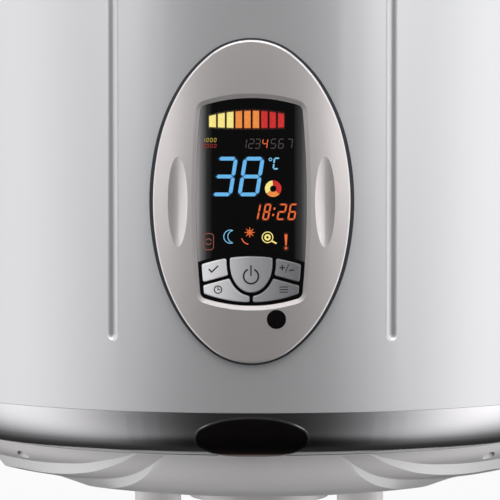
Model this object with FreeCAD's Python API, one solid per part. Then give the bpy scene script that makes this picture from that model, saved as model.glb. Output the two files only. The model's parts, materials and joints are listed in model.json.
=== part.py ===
import FreeCAD, Part
import math
import os
from FreeCAD import Vector

# Wall-hung storage water heater, about 80 litres. Lengths are in millimetres.
# The pieces are drawn about the casing's axis: X to the right, the front towards -Y,
# Z up from the seam between casing and bottom trim ring. Export moves them so that the
# origin lies on the wall, midway between the two slots of the upper bracket.

# Casing
casing_radius = 225.0
casing_height = 690.0
casing_sheet = 0.8
seam_gap = 0.3
groove_angle = 22.8
groove_width = 8.0
groove_depth = 2.0
groove_low = 44.0
groove_high = 646.0
lock_seam_angle = 30.0
lock_seam_width = 11.0
lock_seam_height = 0.9

# Trim rings
ring_drop = 28.7
ring_step = 30.5
ring_wall = 2.0
ring_flange_width = 21.0
ring_flange_thickness = 2.0
ring_lip = 1.2

# Bottom cap: three stacked domes, the lower two cut to slanting ovals, given by how far they
# lie inside the rim. A dome has the radius and the turn of its knuckle, then those of its
# shoulder, and a dish that closes it.
cap_clearance = 0.3
cap_wall = 2.8
cap_spigot = 10.0
side_dome = (13.1, 57.9, 80.0, 78.0)
middle_dome = (22.0, 62.0, 120.0, 80.0)
centre_dome = (28.0, 62.0, 110.0, 83.0)
dome_swell = 0.3
middle_oval_inset_top = (1.6, -2.7)
middle_oval_inset_bottom = (21.4, 34.7)
centre_oval_inset_top = (-13.8, -2.4)
centre_oval_inset_bottom = (77.2, 18.4)
cap_oval_drop = 51.0
cap_screw_inset = 8.5
cap_screw_angle = 58.6
cap_screw_tail = 2.0
pocket_radius = 6.0
pocket_wall = 2.0
pocket_seat_drop = 31.0

# Top cap
top_cap_knuckle = 16.0
top_cap_turn = 84.0
top_cap_flat = 60.0
top_cap_wall = 2.5

# Base plate
plate_sheet = 1.2
plate_edge_gap = 0.6

# Tank
foam_thickness = 25.0
tank_wall = 2.0
tank_bottom = 40.0
tank_top = 720.0
tank_dome_depth = 55.0
dome_skirt = 12.0
weld_gap = 0.2
foam_gap = 0.3
foam_below_cap = 2.0

# Flange
neck_radius = 36.0
neck_wall = 2.0
neck_bottom = -10.0
neck_flange_radius = 54.0
neck_flange_thickness = 6.0
gasket_thickness = 2.5
flange_thickness = 5.0
stud_radius = 3.0
stud_circle = 44.0
stud_count = 6
stud_tail = 10.0
nut_flats = 10.0
nut_height = 5.0
hole_clearance = 0.3
tight_clearance = 0.08

# Heating elements, anode and sensor
element_tube = 4.0
small_element_height = 290.0
large_element_height = 330.0
element_tail = 15.0
terminal_radius = 1.8
terminal_tail = 7.0
anode_radius = 8.0
anode_top = 260.0
anode_stud_radius = 3.0
sensor_pocket_radius = 4.5
sensor_pocket_wall = 0.8
sensor_pocket_top = 210.0
sensor_radius = 3.0

# Water pipes
pipe_spacing = 140.0
nipple_radius = 10.65
nipple_bore = 7.5
nipple_bottom = -110.0
thread_radius = 10.48
thread_length = 16.0
nipple_reach = 14.0
collar_radius = 16.0
collar_bottom = -92.0
collar_flange = 3.0
collar_flange_thickness = 2.0
riser_wall = 1.0
riser_end_gap = 12.0
diffuser_radius = 15.0
diffuser_height = 22.0

# Service cover
service_boss_radius = 48.0
service_boss_wall = 4.0
service_boss_proud = 3.3
service_cover_thickness = 3.0
service_ledge_width = 8.5
service_ledge_thickness = 2.5
service_screw_margin = 1.2
screw_radius = 2.0
screw_head_radius = 3.8
screw_head_height = 2.4

# Safety cut-out
cutout_width = 32.0
cutout_front = -58.0
cutout_depth = 40.0
cutout_top = -41.0
cutout_height = 18.0
cutout_sheet = 1.2
reset_radius = 3.5
reset_front = -28.0
reset_proud = 4.0
reset_travel = 1.5
reset_clearance = 0.35

# Power board and wiring terminals
board_thickness = 1.6
power_board_width = 120.0
power_board_depth = 58.0
power_board_front = -150.0
power_board_drop = 10.0
relay_size = (28.0, 12.0, 15.0)
terminal_block_size = (44.0, 18.0, 20.0)
terminal_block_spot = (-62.0, 92.0)
earth_spot = (30.0, 100.0)
earth_radius = 2.5
earth_length = 16.0
earth_flats = 8.0
earth_head = 3.0
gland_back = 118.0
gland_bore = 4.2
gland_radius = 8.5
gland_flats = 22.0
gland_seat_proud = 1.4
gland_seat_radius = 13.6
gland_head = 11.0
gland_cone = 5.0
gland_nut = 4.0
gland_tail = 4.0

# Wall brackets
wall_gap = 15.0
upper_bracket_height = 540.0
lower_bracket_height = 200.0
bracket_band = 45.0
bracket_sheet = 3.0
bracket_half_width = 130.0
bracket_flat_half = 46.0
bracket_bend_run = 14.0
slot_spacing = 210.0
slot_width = 10.0
slot_length = 22.0
post_half_spacing = 30.0
post_radius = 8.0
post_screw_radius = 4.0
post_screw_length = 18.0
post_head_radius = 6.5
post_head_height = 5.3
band_gap = 0.2

# Control panel, centred on the casing's front
panel_height = 131.8
bezel_half = (61.5, 100.2)
oval_tolerance = 0.3
crown_rise = 8.0
crown_across = 160.0
crown_along = 1250.0
crown_margin = 15.0
bezel_wall = 2.5
bezel_edge_round = 1.4
panel_seal = 0.9
seal_margin = (2.4, 1.3)
seat_gap = 0.15
opening_half = (54.0, 95.0)
tray_half = (50.0, 91.0)
tray_wall = 2.0
tray_back = 16.0
thumb_dimple_x = 45.8
thumb_dimple_half = (6.9, 32.5)
thumb_dimple_depth = 1.2

# Window and keys
window_corner = (31.4, 59.0)
window_side = 34.2
window_end = 64.2
window_round = 4.5
window_gap = 0.15
window_bevel = (2.8, 1.2)
glass_sink = 1.4
glass_thickness = 2.8
glass_flange = 1.5
glass_flange_width = 2.2
key_top = -33.7
key_top_radius = 93.8
key_margin = 2.2
key_gap = 2.3
key_round = 1.1
key_clearance = 0.35
key_flange = 0.8
key_flange_thickness = 1.0
key_edge_round = 0.5
power_key_half = (13.1, 18.1)
power_key_shoulder = -37.9
key_split_height = -48.6
key_split_x = 22.0
key_split_angle = 15.5
key_travel = 0.8
stem_radius = 2.0

# Display electronics
display_board_gap = 5.0
display_board_margin = 1.5
module_half_width = 28.0
module_low = -26.0
module_high = 58.0
module_thickness = 6.6
switch_size = 6.0
switch_height = 3.5
plunger_radius = 1.6
plunger_proud = 1.2
plunger_deep = 1.8
plunger_clearance = 0.3
power_stem = (0.0, -44.0)
upper_stem = (23.0, -42.5)
lower_stem = (20.0, -54.5)
receiver_spot = (15.6, -72.8)
receiver_radius = 5.85
receiver_ring = 0.9
tray_screws = ((-20.0, 76.0), (20.0, 76.0), (-18.0, -77.0))
tray_post_radius = 3.2
tray_screw_radius = 1.4
tray_screw_length = 13.0
tray_head_radius = 2.6
tray_head_height = 1.8
hook_width = 12.0
hook_thickness = 2.0
hook_bite = 2.6
hook_depth = 4.0

# Indicator lamp on the bottom trim ring
lens_half = (35.0, 13.1)
lens_drop = 16.7
lens_proud = 1.2
lens_plug_half = (32.0, 9.8)
lens_plug_drop = 15.4
lens_rim_width = 0.9
lens_rim_proud = 0.9
lens_pin_x = 22.0
lens_pin_radius = 1.5
lamp_board_half = 28.0
lamp_board_low = -21.0
lamp_board_high = -7.0
lamp_board_inset = 19.4
lamp_radius = 2.5
lamp_length = 5.0
lamp_spacing = 14.0

# Values worked out from the sizes above
axis_to_wall = casing_radius + wall_gap
tank_radius = casing_radius - foam_thickness
lamp_board_reach = casing_radius - lamp_board_inset
cap_radius = casing_radius - ring_step - ring_lip - cap_clearance
cap_screw_circle = cap_radius - cap_screw_inset
service_screw_circle = service_boss_radius - service_boss_wall - screw_head_radius - service_screw_margin
plate_bottom = 0.0
plate_top = plate_bottom + plate_sheet
shell_low = tank_bottom + tank_dome_depth
shell_high = tank_top - tank_dome_depth
dome_radius = tank_radius - tank_wall - weld_gap
gasket_bottom = neck_bottom - gasket_thickness
flange_bottom = gasket_bottom - flange_thickness
nut_bottom = flange_bottom - nut_height
pipe_x = pipe_spacing / 2
bezel_reach = casing_radius + crown_rise
glass_reach = bezel_reach - glass_sink
glass_back = glass_reach - glass_thickness
glass_flange_front = glass_back + glass_flange
key_flange_front = glass_back - 0.3
key_back = key_flange_front - key_flange_thickness
tray_floor = casing_radius - tray_back
board_back = tray_floor + tray_wall + display_board_gap
board_front = board_back + board_thickness
switch_front = board_front + switch_height
plunger_front = switch_front + plunger_proud
plunger_back = switch_front - plunger_deep
small_step = 0.3


def export(name, shape):
    placed = moved(shape, 0.0, -axis_to_wall, -upper_bracket_height)
    placed.exportStep("parts/" + name + ".step")
    print(name, "valid", placed.isValid(), "solids", len(placed.Solids), "volume", round(placed.Volume))


def moved(shape, x=0.0, y=0.0, z=0.0):
    copy = shape.copy()
    copy.translate(Vector(x, y, z))
    return copy


def joined(shapes):
    whole = shapes[0]
    for shape in shapes[1:]:
        whole = whole.fuse(shape)
    return whole.removeSplitter()


def without(shape, tools):
    for tool in tools:
        shape = shape.cut(tool)
    return shape


def upright(radius, low, high, x=0.0, y=0.0):
    return Part.makeCylinder(radius, high - low, Vector(x, y, low))


def tube(outer, bore, low, high, x=0.0, y=0.0):
    return upright(outer, low, high, x, y).cut(upright(bore, low, high, x, y))


def block(x_low, x_high, y_low, y_high, z_low, z_high):
    return Part.makeBox(x_high - x_low, y_high - y_low, z_high - z_low, Vector(x_low, y_low, z_low))


def hexagon(flats, low, high, x=0.0, y=0.0):
    corner = flats / math.sqrt(3.0)
    spots = [Vector(x + corner * math.cos(math.radians(60.0 * side)),
                    y + corner * math.sin(math.radians(60.0 * side)), low) for side in range(7)]
    return Part.Face(Part.makePolygon(spots)).extrude(Vector(0, 0, high - low))


def lines(*points):
    spots = [Vector(r, 0, z) for r, z in points]
    return [Part.makeLine(start, end) for start, end in zip(spots, spots[1:])]


def spun(edges):
    """Turns a closed outline in the half plane X > 0 about the vertical axis."""
    outline = Part.Wire(Part.sortEdges(edges)[0])
    body = Part.Face(outline).revolve(Vector(0, 0, 0), Vector(0, 0, 1), 360.0)
    return body if body.Volume > 0 else body.reversed()


def around(radius, angle):
    """A spot on a circle, with the angle counted from the front."""
    turn = math.radians(angle)
    return radius * math.sin(turn), -radius * math.cos(turn)


# Casing

def groove(side, extra):
    """Round channel that runs up the casing and ends in a quarter ball."""
    half = groove_width / 2
    radius = (half * half + groove_depth * groove_depth) / (2 * groove_depth)
    x, y = around(casing_radius - groove_depth + radius, side * groove_angle)
    low = groove_low + half
    high = groove_high - half
    bar = upright(radius + extra, low, high, x, y)
    ends = [Part.makeSphere(radius + extra, Vector(x, y, z)) for z in (low, high)]
    return joined([bar] + ends)


def lock_seam(low, high):
    """Folded joint of the sheet, on the side that faces the wall."""
    strip = block(-lock_seam_width / 2, lock_seam_width / 2, 0.0, casing_radius + 2 * lock_seam_height, low, high)
    strip.rotate(Vector(0, 0, 0), Vector(0, 0, 1), -lock_seam_angle)
    band = tube(casing_radius + lock_seam_height, casing_radius - casing_sheet / 2, low, high)
    return strip.common(band)


def post_spots():
    return [(side * post_half_spacing, height)
            for height in (upper_bracket_height, lower_bracket_height) for side in (-1, 1)]


def backward(radius, near, far, x, z):
    """Round bar that runs from near to far, measured towards the wall."""
    return Part.makeCylinder(radius, far - near, Vector(x, near, z), Vector(0, 1, 0))


def outer_casing():
    low = seam_gap
    high = casing_height - seam_gap
    body = upright(casing_radius, low, high)
    hollow = upright(casing_radius - casing_sheet, low, high)
    for side in (-1, 1):
        body = body.cut(groove(side, 0.0))
        hollow = hollow.cut(groove(side, casing_sheet))
    sheet = body.cut(hollow)
    sheet = sheet.fuse(lock_seam(low + groove_width, high - groove_width))
    sheet = sheet.cut(panel_column(oval(opening_half)))
    holes = [backward(post_radius + hole_clearance, 0.0, axis_to_wall, x, z) for x, z in post_spots()]
    return without(sheet, holes)


# Trim rings

def ring_spot(inset, turn):
    """A spot of the ring's quarter round section, moved inwards by inset; turn 0 is its top."""
    reach = ring_drop - inset
    angle = math.radians(turn)
    return casing_radius - ring_drop + reach * math.cos(angle), -reach * math.sin(angle)


def ring_arc(inset):
    ends = [Vector(x, 0, z) for x, z in (ring_spot(inset, turn) for turn in (0.0, 45.0, 90.0))]
    return Part.Arc(*ends).toShape()


def ring_solid(inset):
    """Everything inside the ring's outer surface, moved inwards by inset."""
    top = ring_spot(inset, 0.0)
    foot = ring_spot(inset, 90.0)
    return spun([ring_arc(inset)] + lines(foot, (0, foot[1]), (0, 0), top))


def trim_ring():
    edge = casing_radius - ring_step
    lip = edge - ring_lip
    foot = [ring_spot(0.0, 90.0), (edge, -ring_drop), (lip, -ring_drop + ring_lip), (lip, -ring_drop + ring_wall)]
    flange_turn = math.degrees(math.asin(ring_flange_thickness / (ring_drop - ring_wall)))
    inside = [ring_spot(ring_wall, turn) for turn in (90.0, 60.0, 30.0, flange_turn)]
    flange_in = casing_radius - ring_flange_width
    flange = [(flange_in, -ring_flange_thickness), (flange_in, 0), ring_spot(0.0, 0.0)]
    return spun([ring_arc(0.0)] + lines(*(foot + inside + flange)))


def bottom_trim_ring():
    opening = front_column(lens_plug_half, -lens_plug_drop, hole_clearance)
    return trim_ring().cut(opening)


def top_trim_ring():
    return trim_ring().mirror(Vector(0, 0, casing_height / 2), Vector(0, 0, 1))


# Bottom cap

def dome_arcs(radius, form):
    """Centre, radius, first and last turn of the tangent arcs of a dome, whose rim lies at height 0."""
    knuckle, knuckle_turn, shoulder, shoulder_turn = form
    low = math.radians(knuckle_turn)
    high = math.radians(shoulder_turn)
    knuckle_x = radius - knuckle
    shoulder_x = knuckle_x - (shoulder - knuckle) * math.cos(low)
    shoulder_z = (shoulder - knuckle) * math.sin(low)
    dish = shoulder + shoulder_x / math.cos(high)
    dish_z = shoulder_z + shoulder_x * math.tan(high)
    return [(knuckle_x, 0.0, knuckle, 0.0, low),
            (shoulder_x, shoulder_z, shoulder, low, high),
            (0.0, dish_z, dish, high, math.pi / 2)]


def dome_depth(radius, form):
    x, z, reach, first, last = dome_arcs(radius, form)[-1]
    return reach - z


def centre_height(radius):
    """Height of the centre dome's outside at a radius within its dish."""
    x, z, reach, first, last = dome_arcs(cap_radius, centre_dome)[-1]
    return z - ring_drop - math.sqrt(reach * reach - radius * radius)


def service_boss_low():
    return centre_height(0.0) - service_boss_proud


def gland_seat_low():
    return centre_height(gland_back - gland_seat_radius) - gland_seat_proud


def gland_seat_high():
    return centre_height(gland_back + gland_seat_radius) + cap_wall + gland_seat_proud


def collar_top():
    """The collar's flange lies just over the inside of the cap."""
    outermost = pipe_x + collar_radius + collar_flange
    return centre_height(outermost) + cap_wall + 2 * small_step + collar_flange_thickness


def arc_spot(arc, inset, turn):
    x, z, reach, first, last = arc
    return x + (reach - inset) * math.cos(turn), z - (reach - inset) * math.sin(turn)


def dome(radius, form, rim, top):
    """The solid dome, from its lowest spot up to top."""
    arcs = dome_arcs(radius, form)
    edges = []
    for arc in arcs:
        first, last = arc[3:]
        spots = [arc_spot(arc, 0.0, turn) for turn in (first, (first + last) / 2, last)]
        edges.append(Part.Arc(*[Vector(x, 0, rim + z) for x, z in spots]).toShape())
    depth = dome_depth(radius, form)
    return spun(edges + lines((radius, rim), (radius, top), (0, top), (0, rim - depth)))


def dome_hollow(radius, form, inset, rim, top):
    """The dome moved inwards by the wall, with plain cones in place of its arcs."""
    spots = [(radius - inset, top)]
    for arc in dome_arcs(radius, form):
        spots.append(arc_spot(arc, inset, arc[3]))
    dish = dome_arcs(radius, form)[-1]
    spots.append(arc_spot(dish, inset, (dish[3] + dish[4]) / 2))
    spots.append((0.0, inset - dome_depth(radius, form)))
    spots = [spots[0]] + [(x, rim + z) for x, z in spots[1:]]
    return spun(lines(*(spots + [(0.0, top), spots[0]])))


def flat_oval(half, z):
    stretch = FreeCAD.Matrix()
    stretch.scale(half[0], half[1], 1.0)
    return moved(Part.Wire(Part.makeCircle(1.0).transformGeometry(stretch)), 0, 0, z)


def slanting_oval(top_inset, bottom_inset, inset):
    """Column between an oval just above the cap's rim and a smaller one far below it."""
    top = [cap_radius - side - inset for side in top_inset]
    bottom = [cap_radius - side - inset for side in bottom_inset]
    return Part.makeLoft([flat_oval(top, -ring_drop + 1.0), flat_oval(bottom, -ring_drop - cap_oval_drop)],
                         True, True)


def cap_outside():
    rim = -ring_drop
    side = dome(cap_radius, side_dome, rim, rim + cap_spigot)
    edge = upright(cap_radius, rim - cap_oval_drop, rim + small_step)
    middle = dome(cap_radius + dome_swell, middle_dome, rim, rim + small_step).common(edge)
    centre = dome(cap_radius + 2 * dome_swell, centre_dome, rim, rim + small_step).common(edge)
    middle = middle.common(slanting_oval(middle_oval_inset_top, middle_oval_inset_bottom, 0.0))
    centre = centre.common(slanting_oval(centre_oval_inset_top, centre_oval_inset_bottom, 0.0))
    return side.fuse(middle).fuse(centre)


def cap_hollow():
    rim = -ring_drop
    side = dome_hollow(cap_radius, side_dome, cap_wall, rim, rim + cap_spigot)
    middle = dome_hollow(cap_radius, middle_dome, cap_wall, rim, rim + small_step)
    centre = dome_hollow(cap_radius, centre_dome, cap_wall, rim, rim + small_step)
    middle = middle.common(slanting_oval(middle_oval_inset_top, middle_oval_inset_bottom, cap_wall))
    centre = centre.common(slanting_oval(centre_oval_inset_top, centre_oval_inset_bottom, cap_wall))
    return side.fuse(middle).fuse(centre)


def cap_screw_spots():
    angles = [side * angle for angle in (cap_screw_angle, 180.0 - cap_screw_angle) for side in (-1, 1)]
    return [around(cap_screw_circle, angle) for angle in angles]


def service_screw_spots():
    return [around(service_screw_circle, angle) for angle in (-90.0, 90.0)]


def bottom_cap():
    outside = cap_outside()
    boss_low = service_boss_low()
    shell = outside.cut(cap_hollow())
    centre_dome_depth = dome_depth(cap_radius, centre_dome)
    side_dome_depth = dome_depth(cap_radius, side_dome)
    posts = [upright(pocket_radius + pocket_wall, -ring_drop - side_dome_depth, plate_bottom, x, y).common(
        upright(cap_radius - small_step, -ring_drop - centre_dome_depth, plate_bottom))
        for x, y in cap_screw_spots()]
    below = outside.fuse(upright(cap_radius - small_step, -ring_drop, plate_bottom))
    shell = shell.fuse(Part.makeCompound([post.common(below) for post in posts]))
    for x, y in cap_screw_spots():
        shell = shell.cut(upright(pocket_radius, boss_low, -pocket_seat_drop, x, y))
        shell = shell.cut(upright(screw_radius + hole_clearance, boss_low, small_step, x, y))
    apex = -ring_drop - centre_dome_depth
    boss = tube(service_boss_radius, service_boss_radius - service_boss_wall, boss_low, apex + 6.0)
    ledge_top = boss_low + service_cover_thickness + service_ledge_thickness
    ledge_in = service_boss_radius - service_boss_wall - service_ledge_width
    ledge = tube(service_boss_radius - 1.0, ledge_in, ledge_top - service_ledge_thickness, ledge_top)
    opening = upright(service_boss_radius - 1.0, apex - small_step, apex + cap_wall + 4.0)
    shell = shell.cut(opening).fuse(boss).fuse(ledge)
    shell = shell.fuse(upright(gland_seat_radius, gland_seat_low(), gland_seat_high(), 0.0, gland_back))
    tools = [upright(collar_radius + hole_clearance, collar_bottom, collar_top(), side * pipe_x, 0.0)
             for side in (-1, 1)]
    tools += [upright(screw_radius + tight_clearance, boss_low, ledge_top + 1.0, x, y)
              for x, y in service_screw_spots()]
    tools.append(upright(gland_radius + hole_clearance, gland_seat_low(), gland_seat_high(), 0.0, gland_back))
    return without(shell, tools)


def cover_screws():
    """Four screws of the bottom cap and two of the service cover."""
    boss_low = service_boss_low()
    screws = []
    for x, y in cap_screw_spots():
        seat = -pocket_seat_drop
        screws.append(pan_screw(x, y, seat, plate_top + cap_screw_tail))
    for x, y in service_screw_spots():
        seat = boss_low + screw_head_height
        screws.append(pan_screw(x, y, seat, seat + 6.0))
    return Part.makeCompound(screws)


def pan_screw(x, y, seat, tip):
    head = upright(screw_head_radius, seat - screw_head_height, seat, x, y)
    return joined([head, upright(screw_radius, seat - small_step, tip, x, y)])


def service_cover():
    low = service_boss_low()
    radius = service_boss_radius - service_boss_wall - small_step
    disc = upright(radius, low, low + service_cover_thickness)
    disc = disc.cut(tube(radius - 12.0, radius - 13.5, low, low + 0.8))
    for x, y in service_screw_spots():
        disc = disc.cut(upright(screw_head_radius + hole_clearance, low, low + screw_head_height, x, y))
        disc = disc.cut(upright(screw_radius + hole_clearance, low, low + service_cover_thickness, x, y))
    finger_notch = Part.makeCylinder(9.0, 8.0, Vector(0.0, -radius, low - 7.0), Vector(0, 1, 0))
    return disc.cut(finger_notch)


# Top cap

def top_cap_spots(inset, turns):
    """Section of the top cap from its rim over the knuckle and the slope to the flat middle."""
    spots = []
    for turn in turns:
        angle = math.radians(turn)
        reach = top_cap_knuckle - inset
        spots.append((cap_radius - top_cap_knuckle + reach * math.cos(angle), reach * math.sin(angle)))
    x, z = spots[-1]
    slope = 1.0 / math.tan(math.radians(top_cap_turn))
    spots.append((top_cap_flat, z + (x - top_cap_flat) * slope))
    spots.append((0.0, spots[-1][1]))
    return [(x, casing_height + ring_drop + z) for x, z in spots]


def top_cap():
    low = casing_height + ring_drop - cap_spigot
    outer = top_cap_spots(0.0, (0.0, top_cap_turn / 2, top_cap_turn))
    knuckle = Part.Arc(*[Vector(x, 0, z) for x, z in outer[:3]]).toShape()
    inner = top_cap_spots(top_cap_wall, (0.0, top_cap_turn / 2, top_cap_turn))
    rim = [inner[0], (inner[0][0], low), (outer[0][0], low), outer[0]]
    return spun([knuckle] + lines(*outer[2:]) + lines(outer[-1], inner[-1]) + lines(*inner) + lines(*rim))


# Base plate, foam and tank

def nipple_holes(radius, low, high):
    return [upright(radius, low, high, side * pipe_x, 0.0) for side in (-1, 1)]


def base_plate():
    plate = upright(casing_radius - casing_sheet - plate_edge_gap, plate_bottom, plate_top)
    tools = [upright(neck_radius + 1.0, plate_bottom, plate_top)]
    tools += nipple_holes(nipple_radius + 1.0, plate_bottom, plate_top)
    tools += [upright(screw_radius + tight_clearance, plate_bottom, plate_top, x, y) for x, y in cap_screw_spots()]
    tools.append(upright(earth_radius + tight_clearance, plate_bottom, plate_top, *earth_spot))
    return without(plate, tools)


def head_spots(radius, depth, rim, side):
    """Section of a tank dome from its rim to the axis; side is -1 at the bottom and 1 at the top."""
    turns = [math.radians(turn) for turn in (0.0, 25.0, 50.0, 72.0, 90.0)]
    return [(radius * math.cos(turn), rim + side * depth * math.sin(turn)) for turn in turns]


def tank_solid(extra):
    """The tank's outer form, grown by extra."""
    radius = tank_radius + extra
    depth = tank_dome_depth + extra
    low = head_spots(radius, depth, shell_low, -1)
    high = head_spots(radius, depth, shell_high, 1)
    return spun(lines(*(low[::-1] + high + low[-1:])))


def bracket_posts():
    """Posts on the tank's back, which carry the wall brackets."""
    posts = []
    for x, z in post_spots():
        post = backward(post_radius, tank_radius - 20.0, casing_radius, x, z)
        post = post.cut(upright(tank_radius - tank_wall / 2, z - 2 * post_radius, z + 2 * post_radius))
        bore_deep = casing_radius - post_screw_length
        posts.append(post.cut(backward(post_screw_radius + tight_clearance, bore_deep, casing_radius, x, z)))
    return posts


def tank_shell():
    return joined([tube(tank_radius, tank_radius - tank_wall, shell_low, shell_high)] + bracket_posts())


def tank_dome(rim, side):
    inner = dome_radius - tank_wall
    skirt = rim - side * dome_skirt
    outside = head_spots(dome_radius, tank_dome_depth, rim, side)
    inside = head_spots(inner, tank_dome_depth - tank_wall, rim, side)
    return spun(lines(*(outside + inside[::-1] + [(inner, skirt), (dome_radius, skirt), outside[0]])))


def tank_bottom_dome():
    tools = nipple_holes(nipple_radius + tight_clearance, tank_bottom - 5.0, shell_low)
    tools.append(upright(neck_radius + tight_clearance, tank_bottom - 5.0, shell_low))
    return without(tank_dome(shell_low, -1), tools)


def foam():
    radius = casing_radius - casing_sheet - foam_gap
    cover = top_cap_spots(top_cap_wall + foam_below_cap, (0.0, top_cap_turn / 2, top_cap_turn))
    neck = cover[0][0]
    shoulder = casing_height - ring_flange_thickness
    outline = [(0.0, plate_top), (radius, plate_top), (radius, shoulder), (neck, shoulder)] + cover
    body = spun(lines(*(outline + outline[:1]))).cut(tank_solid(foam_gap))
    tools = [upright(neck_radius + foam_gap, plate_top, shell_low)]
    tools += nipple_holes(nipple_radius + foam_gap, plate_top, shell_low)
    tools += [backward(post_radius + foam_gap, 0.0, casing_radius, x, z) for x, z in post_spots()]
    tools += [groove(side, casing_sheet + foam_gap) for side in (-1, 1)]
    tools += [upright(screw_radius + foam_gap, plate_top, plate_top + cap_screw_tail + foam_gap, x, y)
              for x, y in cap_screw_spots()]
    tools.append(upright(earth_flats / math.sqrt(3.0) + foam_gap, plate_top, plate_top + earth_head + foam_gap,
                         *earth_spot))
    tools += [inward(tray_head_radius + foam_gap, tray_floor, tray_floor - tray_head_height - foam_gap, x, z)
              for x, z in tray_screws]
    recess = panel_column(oval((opening_half[0] + hook_bite + foam_gap, opening_half[1] + hook_bite + foam_gap)))
    tools.append(recess.cut(block(-casing_radius, casing_radius, foam_gap - tray_floor, casing_radius,
                                  -casing_radius, casing_radius * 2)))
    return without(body, tools)


# Flange with what it carries

def stud_spots():
    return [around(stud_circle, 360.0 / stud_count * (index + 0.5)) for index in range(stud_count)]


def flange_ring(radius, bore, low, high, hole):
    ring = tube(radius, bore, low, high)
    return without(ring, [upright(hole, low, high, x, y) for x, y in stud_spots()])


def tank_flange_neck():
    """Neck welded into the bottom dome, its ring, and the studs welded into the ring."""
    rise = math.sqrt(1.0 - (neck_radius / dome_radius) ** 2)
    top = shell_low - tank_dome_depth * rise + tank_wall
    neck = tube(neck_radius, neck_radius - neck_wall, neck_bottom, top)
    ring = tube(neck_flange_radius, neck_radius - neck_wall, neck_bottom, neck_bottom + neck_flange_thickness)
    studs = [upright(stud_radius, flange_bottom - stud_tail, neck_bottom + 1.0, x, y) for x, y in stud_spots()]
    return joined([neck, ring] + studs)


def flange_gasket():
    return flange_ring(neck_flange_radius - 1.0, neck_radius - neck_wall - 1.5, gasket_bottom, neck_bottom,
                       stud_radius + hole_clearance)


small_element_legs = ((-11.0, -12.0), (3.0, -12.0))
large_element_legs = ((-16.0, 10.0), (16.0, 10.0))
anode_spot = (20.0, -10.0)
sensor_spot = (-24.0, -6.0)


def flange_tools(low, high):
    legs = small_element_legs + large_element_legs
    tools = [upright(element_tube + tight_clearance, low, high, x, y) for x, y in legs]
    tools.append(upright(anode_stud_radius + tight_clearance, low, high, *anode_spot))
    tools.append(upright(sensor_pocket_radius + tight_clearance, low, high, *sensor_spot))
    return tools


def heating_flange():
    plate = upright(neck_flange_radius, flange_bottom, gasket_bottom)
    holes = [upright(stud_radius + hole_clearance, flange_bottom, gasket_bottom, x, y) for x, y in stud_spots()]
    return without(plate, holes + flange_tools(flange_bottom, gasket_bottom))


def flange_nuts():
    nuts = []
    for x, y in stud_spots():
        nut = hexagon(nut_flats, nut_bottom, flange_bottom, x, y)
        nuts.append(nut.cut(upright(stud_radius + tight_clearance, nut_bottom, flange_bottom, x, y)))
    return Part.makeCompound(nuts)


def hairpin(legs, height):
    """Heating tube that goes up, turns over and comes down again, with a terminal pin at each end."""
    (left, y), (right, y) = legs
    bend_radius = (right - left) / 2
    top = height - bend_radius
    circle = Part.Face(Part.Wire(Part.makeCircle(element_tube, Vector(left, y, top))))
    bend = circle.revolve(Vector(left + bend_radius, y, top), Vector(0, 1, 0), 180.0)
    return joined(element_end(left, y, top) + element_end(right, y, top) + [bend])


def element_end(x, y, top):
    low = flange_bottom - element_tail
    leg = upright(element_tube, low, top, x, y)
    return [leg, upright(terminal_radius, low - terminal_tail, low + 1.0, x, y)]


def anode_rod():
    x, y = anode_spot
    rod = upright(anode_radius, gasket_bottom, anode_top, x, y)
    stud = upright(anode_stud_radius, flange_bottom - stud_tail, gasket_bottom + 1.0, x, y)
    nut = hexagon(nut_flats, nut_bottom, flange_bottom, x, y)
    return joined([rod, stud, nut])


def sensor_pocket():
    x, y = sensor_spot
    low = flange_bottom - 4.0
    outer = upright(sensor_pocket_radius, low, sensor_pocket_top, x, y)
    tip = Part.makeCone(sensor_pocket_radius, sensor_pocket_radius / 2, sensor_pocket_radius / 2,
                        Vector(x, y, sensor_pocket_top))
    bore = sensor_pocket_radius - sensor_pocket_wall
    return outer.fuse(tip).cut(upright(bore, low, sensor_pocket_top - 1.0, x, y))


def temperature_sensor():
    x, y = sensor_spot
    top = sensor_pocket_top - 1.5
    bulb = upright(sensor_radius, flange_bottom - 8.0, top, x, y)
    return bulb.fuse(upright(sensor_pocket_radius, flange_bottom - 8.0, flange_bottom - 4.2, x, y))


# Water pipes

def nipple(side):
    """Pipe welded into the bottom dome, with its threaded end below the cap."""
    thread_top = nipple_bottom + thread_length
    x = side * pipe_x
    pipe = upright(nipple_radius, thread_top, pipe_top(), x)
    thread = upright(thread_radius, nipple_bottom, thread_top, x)
    return joined([pipe, thread]).cut(upright(nipple_bore, nipple_bottom, pipe_top(), x))


def pipe_top():
    return shell_low - tank_dome_depth * math.sqrt(1.0 - (pipe_x / dome_radius) ** 2) + nipple_reach


def cold_diffuser():
    """Cap over the cold pipe's end, with four side windows that spread the water."""
    low = pipe_top() - 6.0
    high = low + diffuser_height
    cap = upright(diffuser_radius, low, high, pipe_x, 0.0)
    cap = cap.cut(upright(nipple_radius + 0.1, low, pipe_top(), pipe_x, 0.0))
    cap = cap.cut(upright(nipple_radius - 1.0, low, high - 3.0, pipe_x, 0.0))
    window_low = pipe_top() + 3.0
    for turn in (45.0, 135.0):
        window = block(-2 * diffuser_radius, 2 * diffuser_radius, -3.5, 3.5, window_low, high - 5.0)
        window.rotate(Vector(0, 0, 0), Vector(0, 0, 1), turn)
        cap = cap.cut(moved(window, pipe_x, 0.0, 0.0))
    return cap


def hot_riser_tube():
    """Tube that takes hot water from the top of the tank, pushed into the hot nipple."""
    top = tank_top - tank_wall - riser_end_gap
    outer = nipple_bore - tight_clearance
    return tube(outer, outer - riser_wall, plate_top, top, -pipe_x, 0.0)


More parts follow.
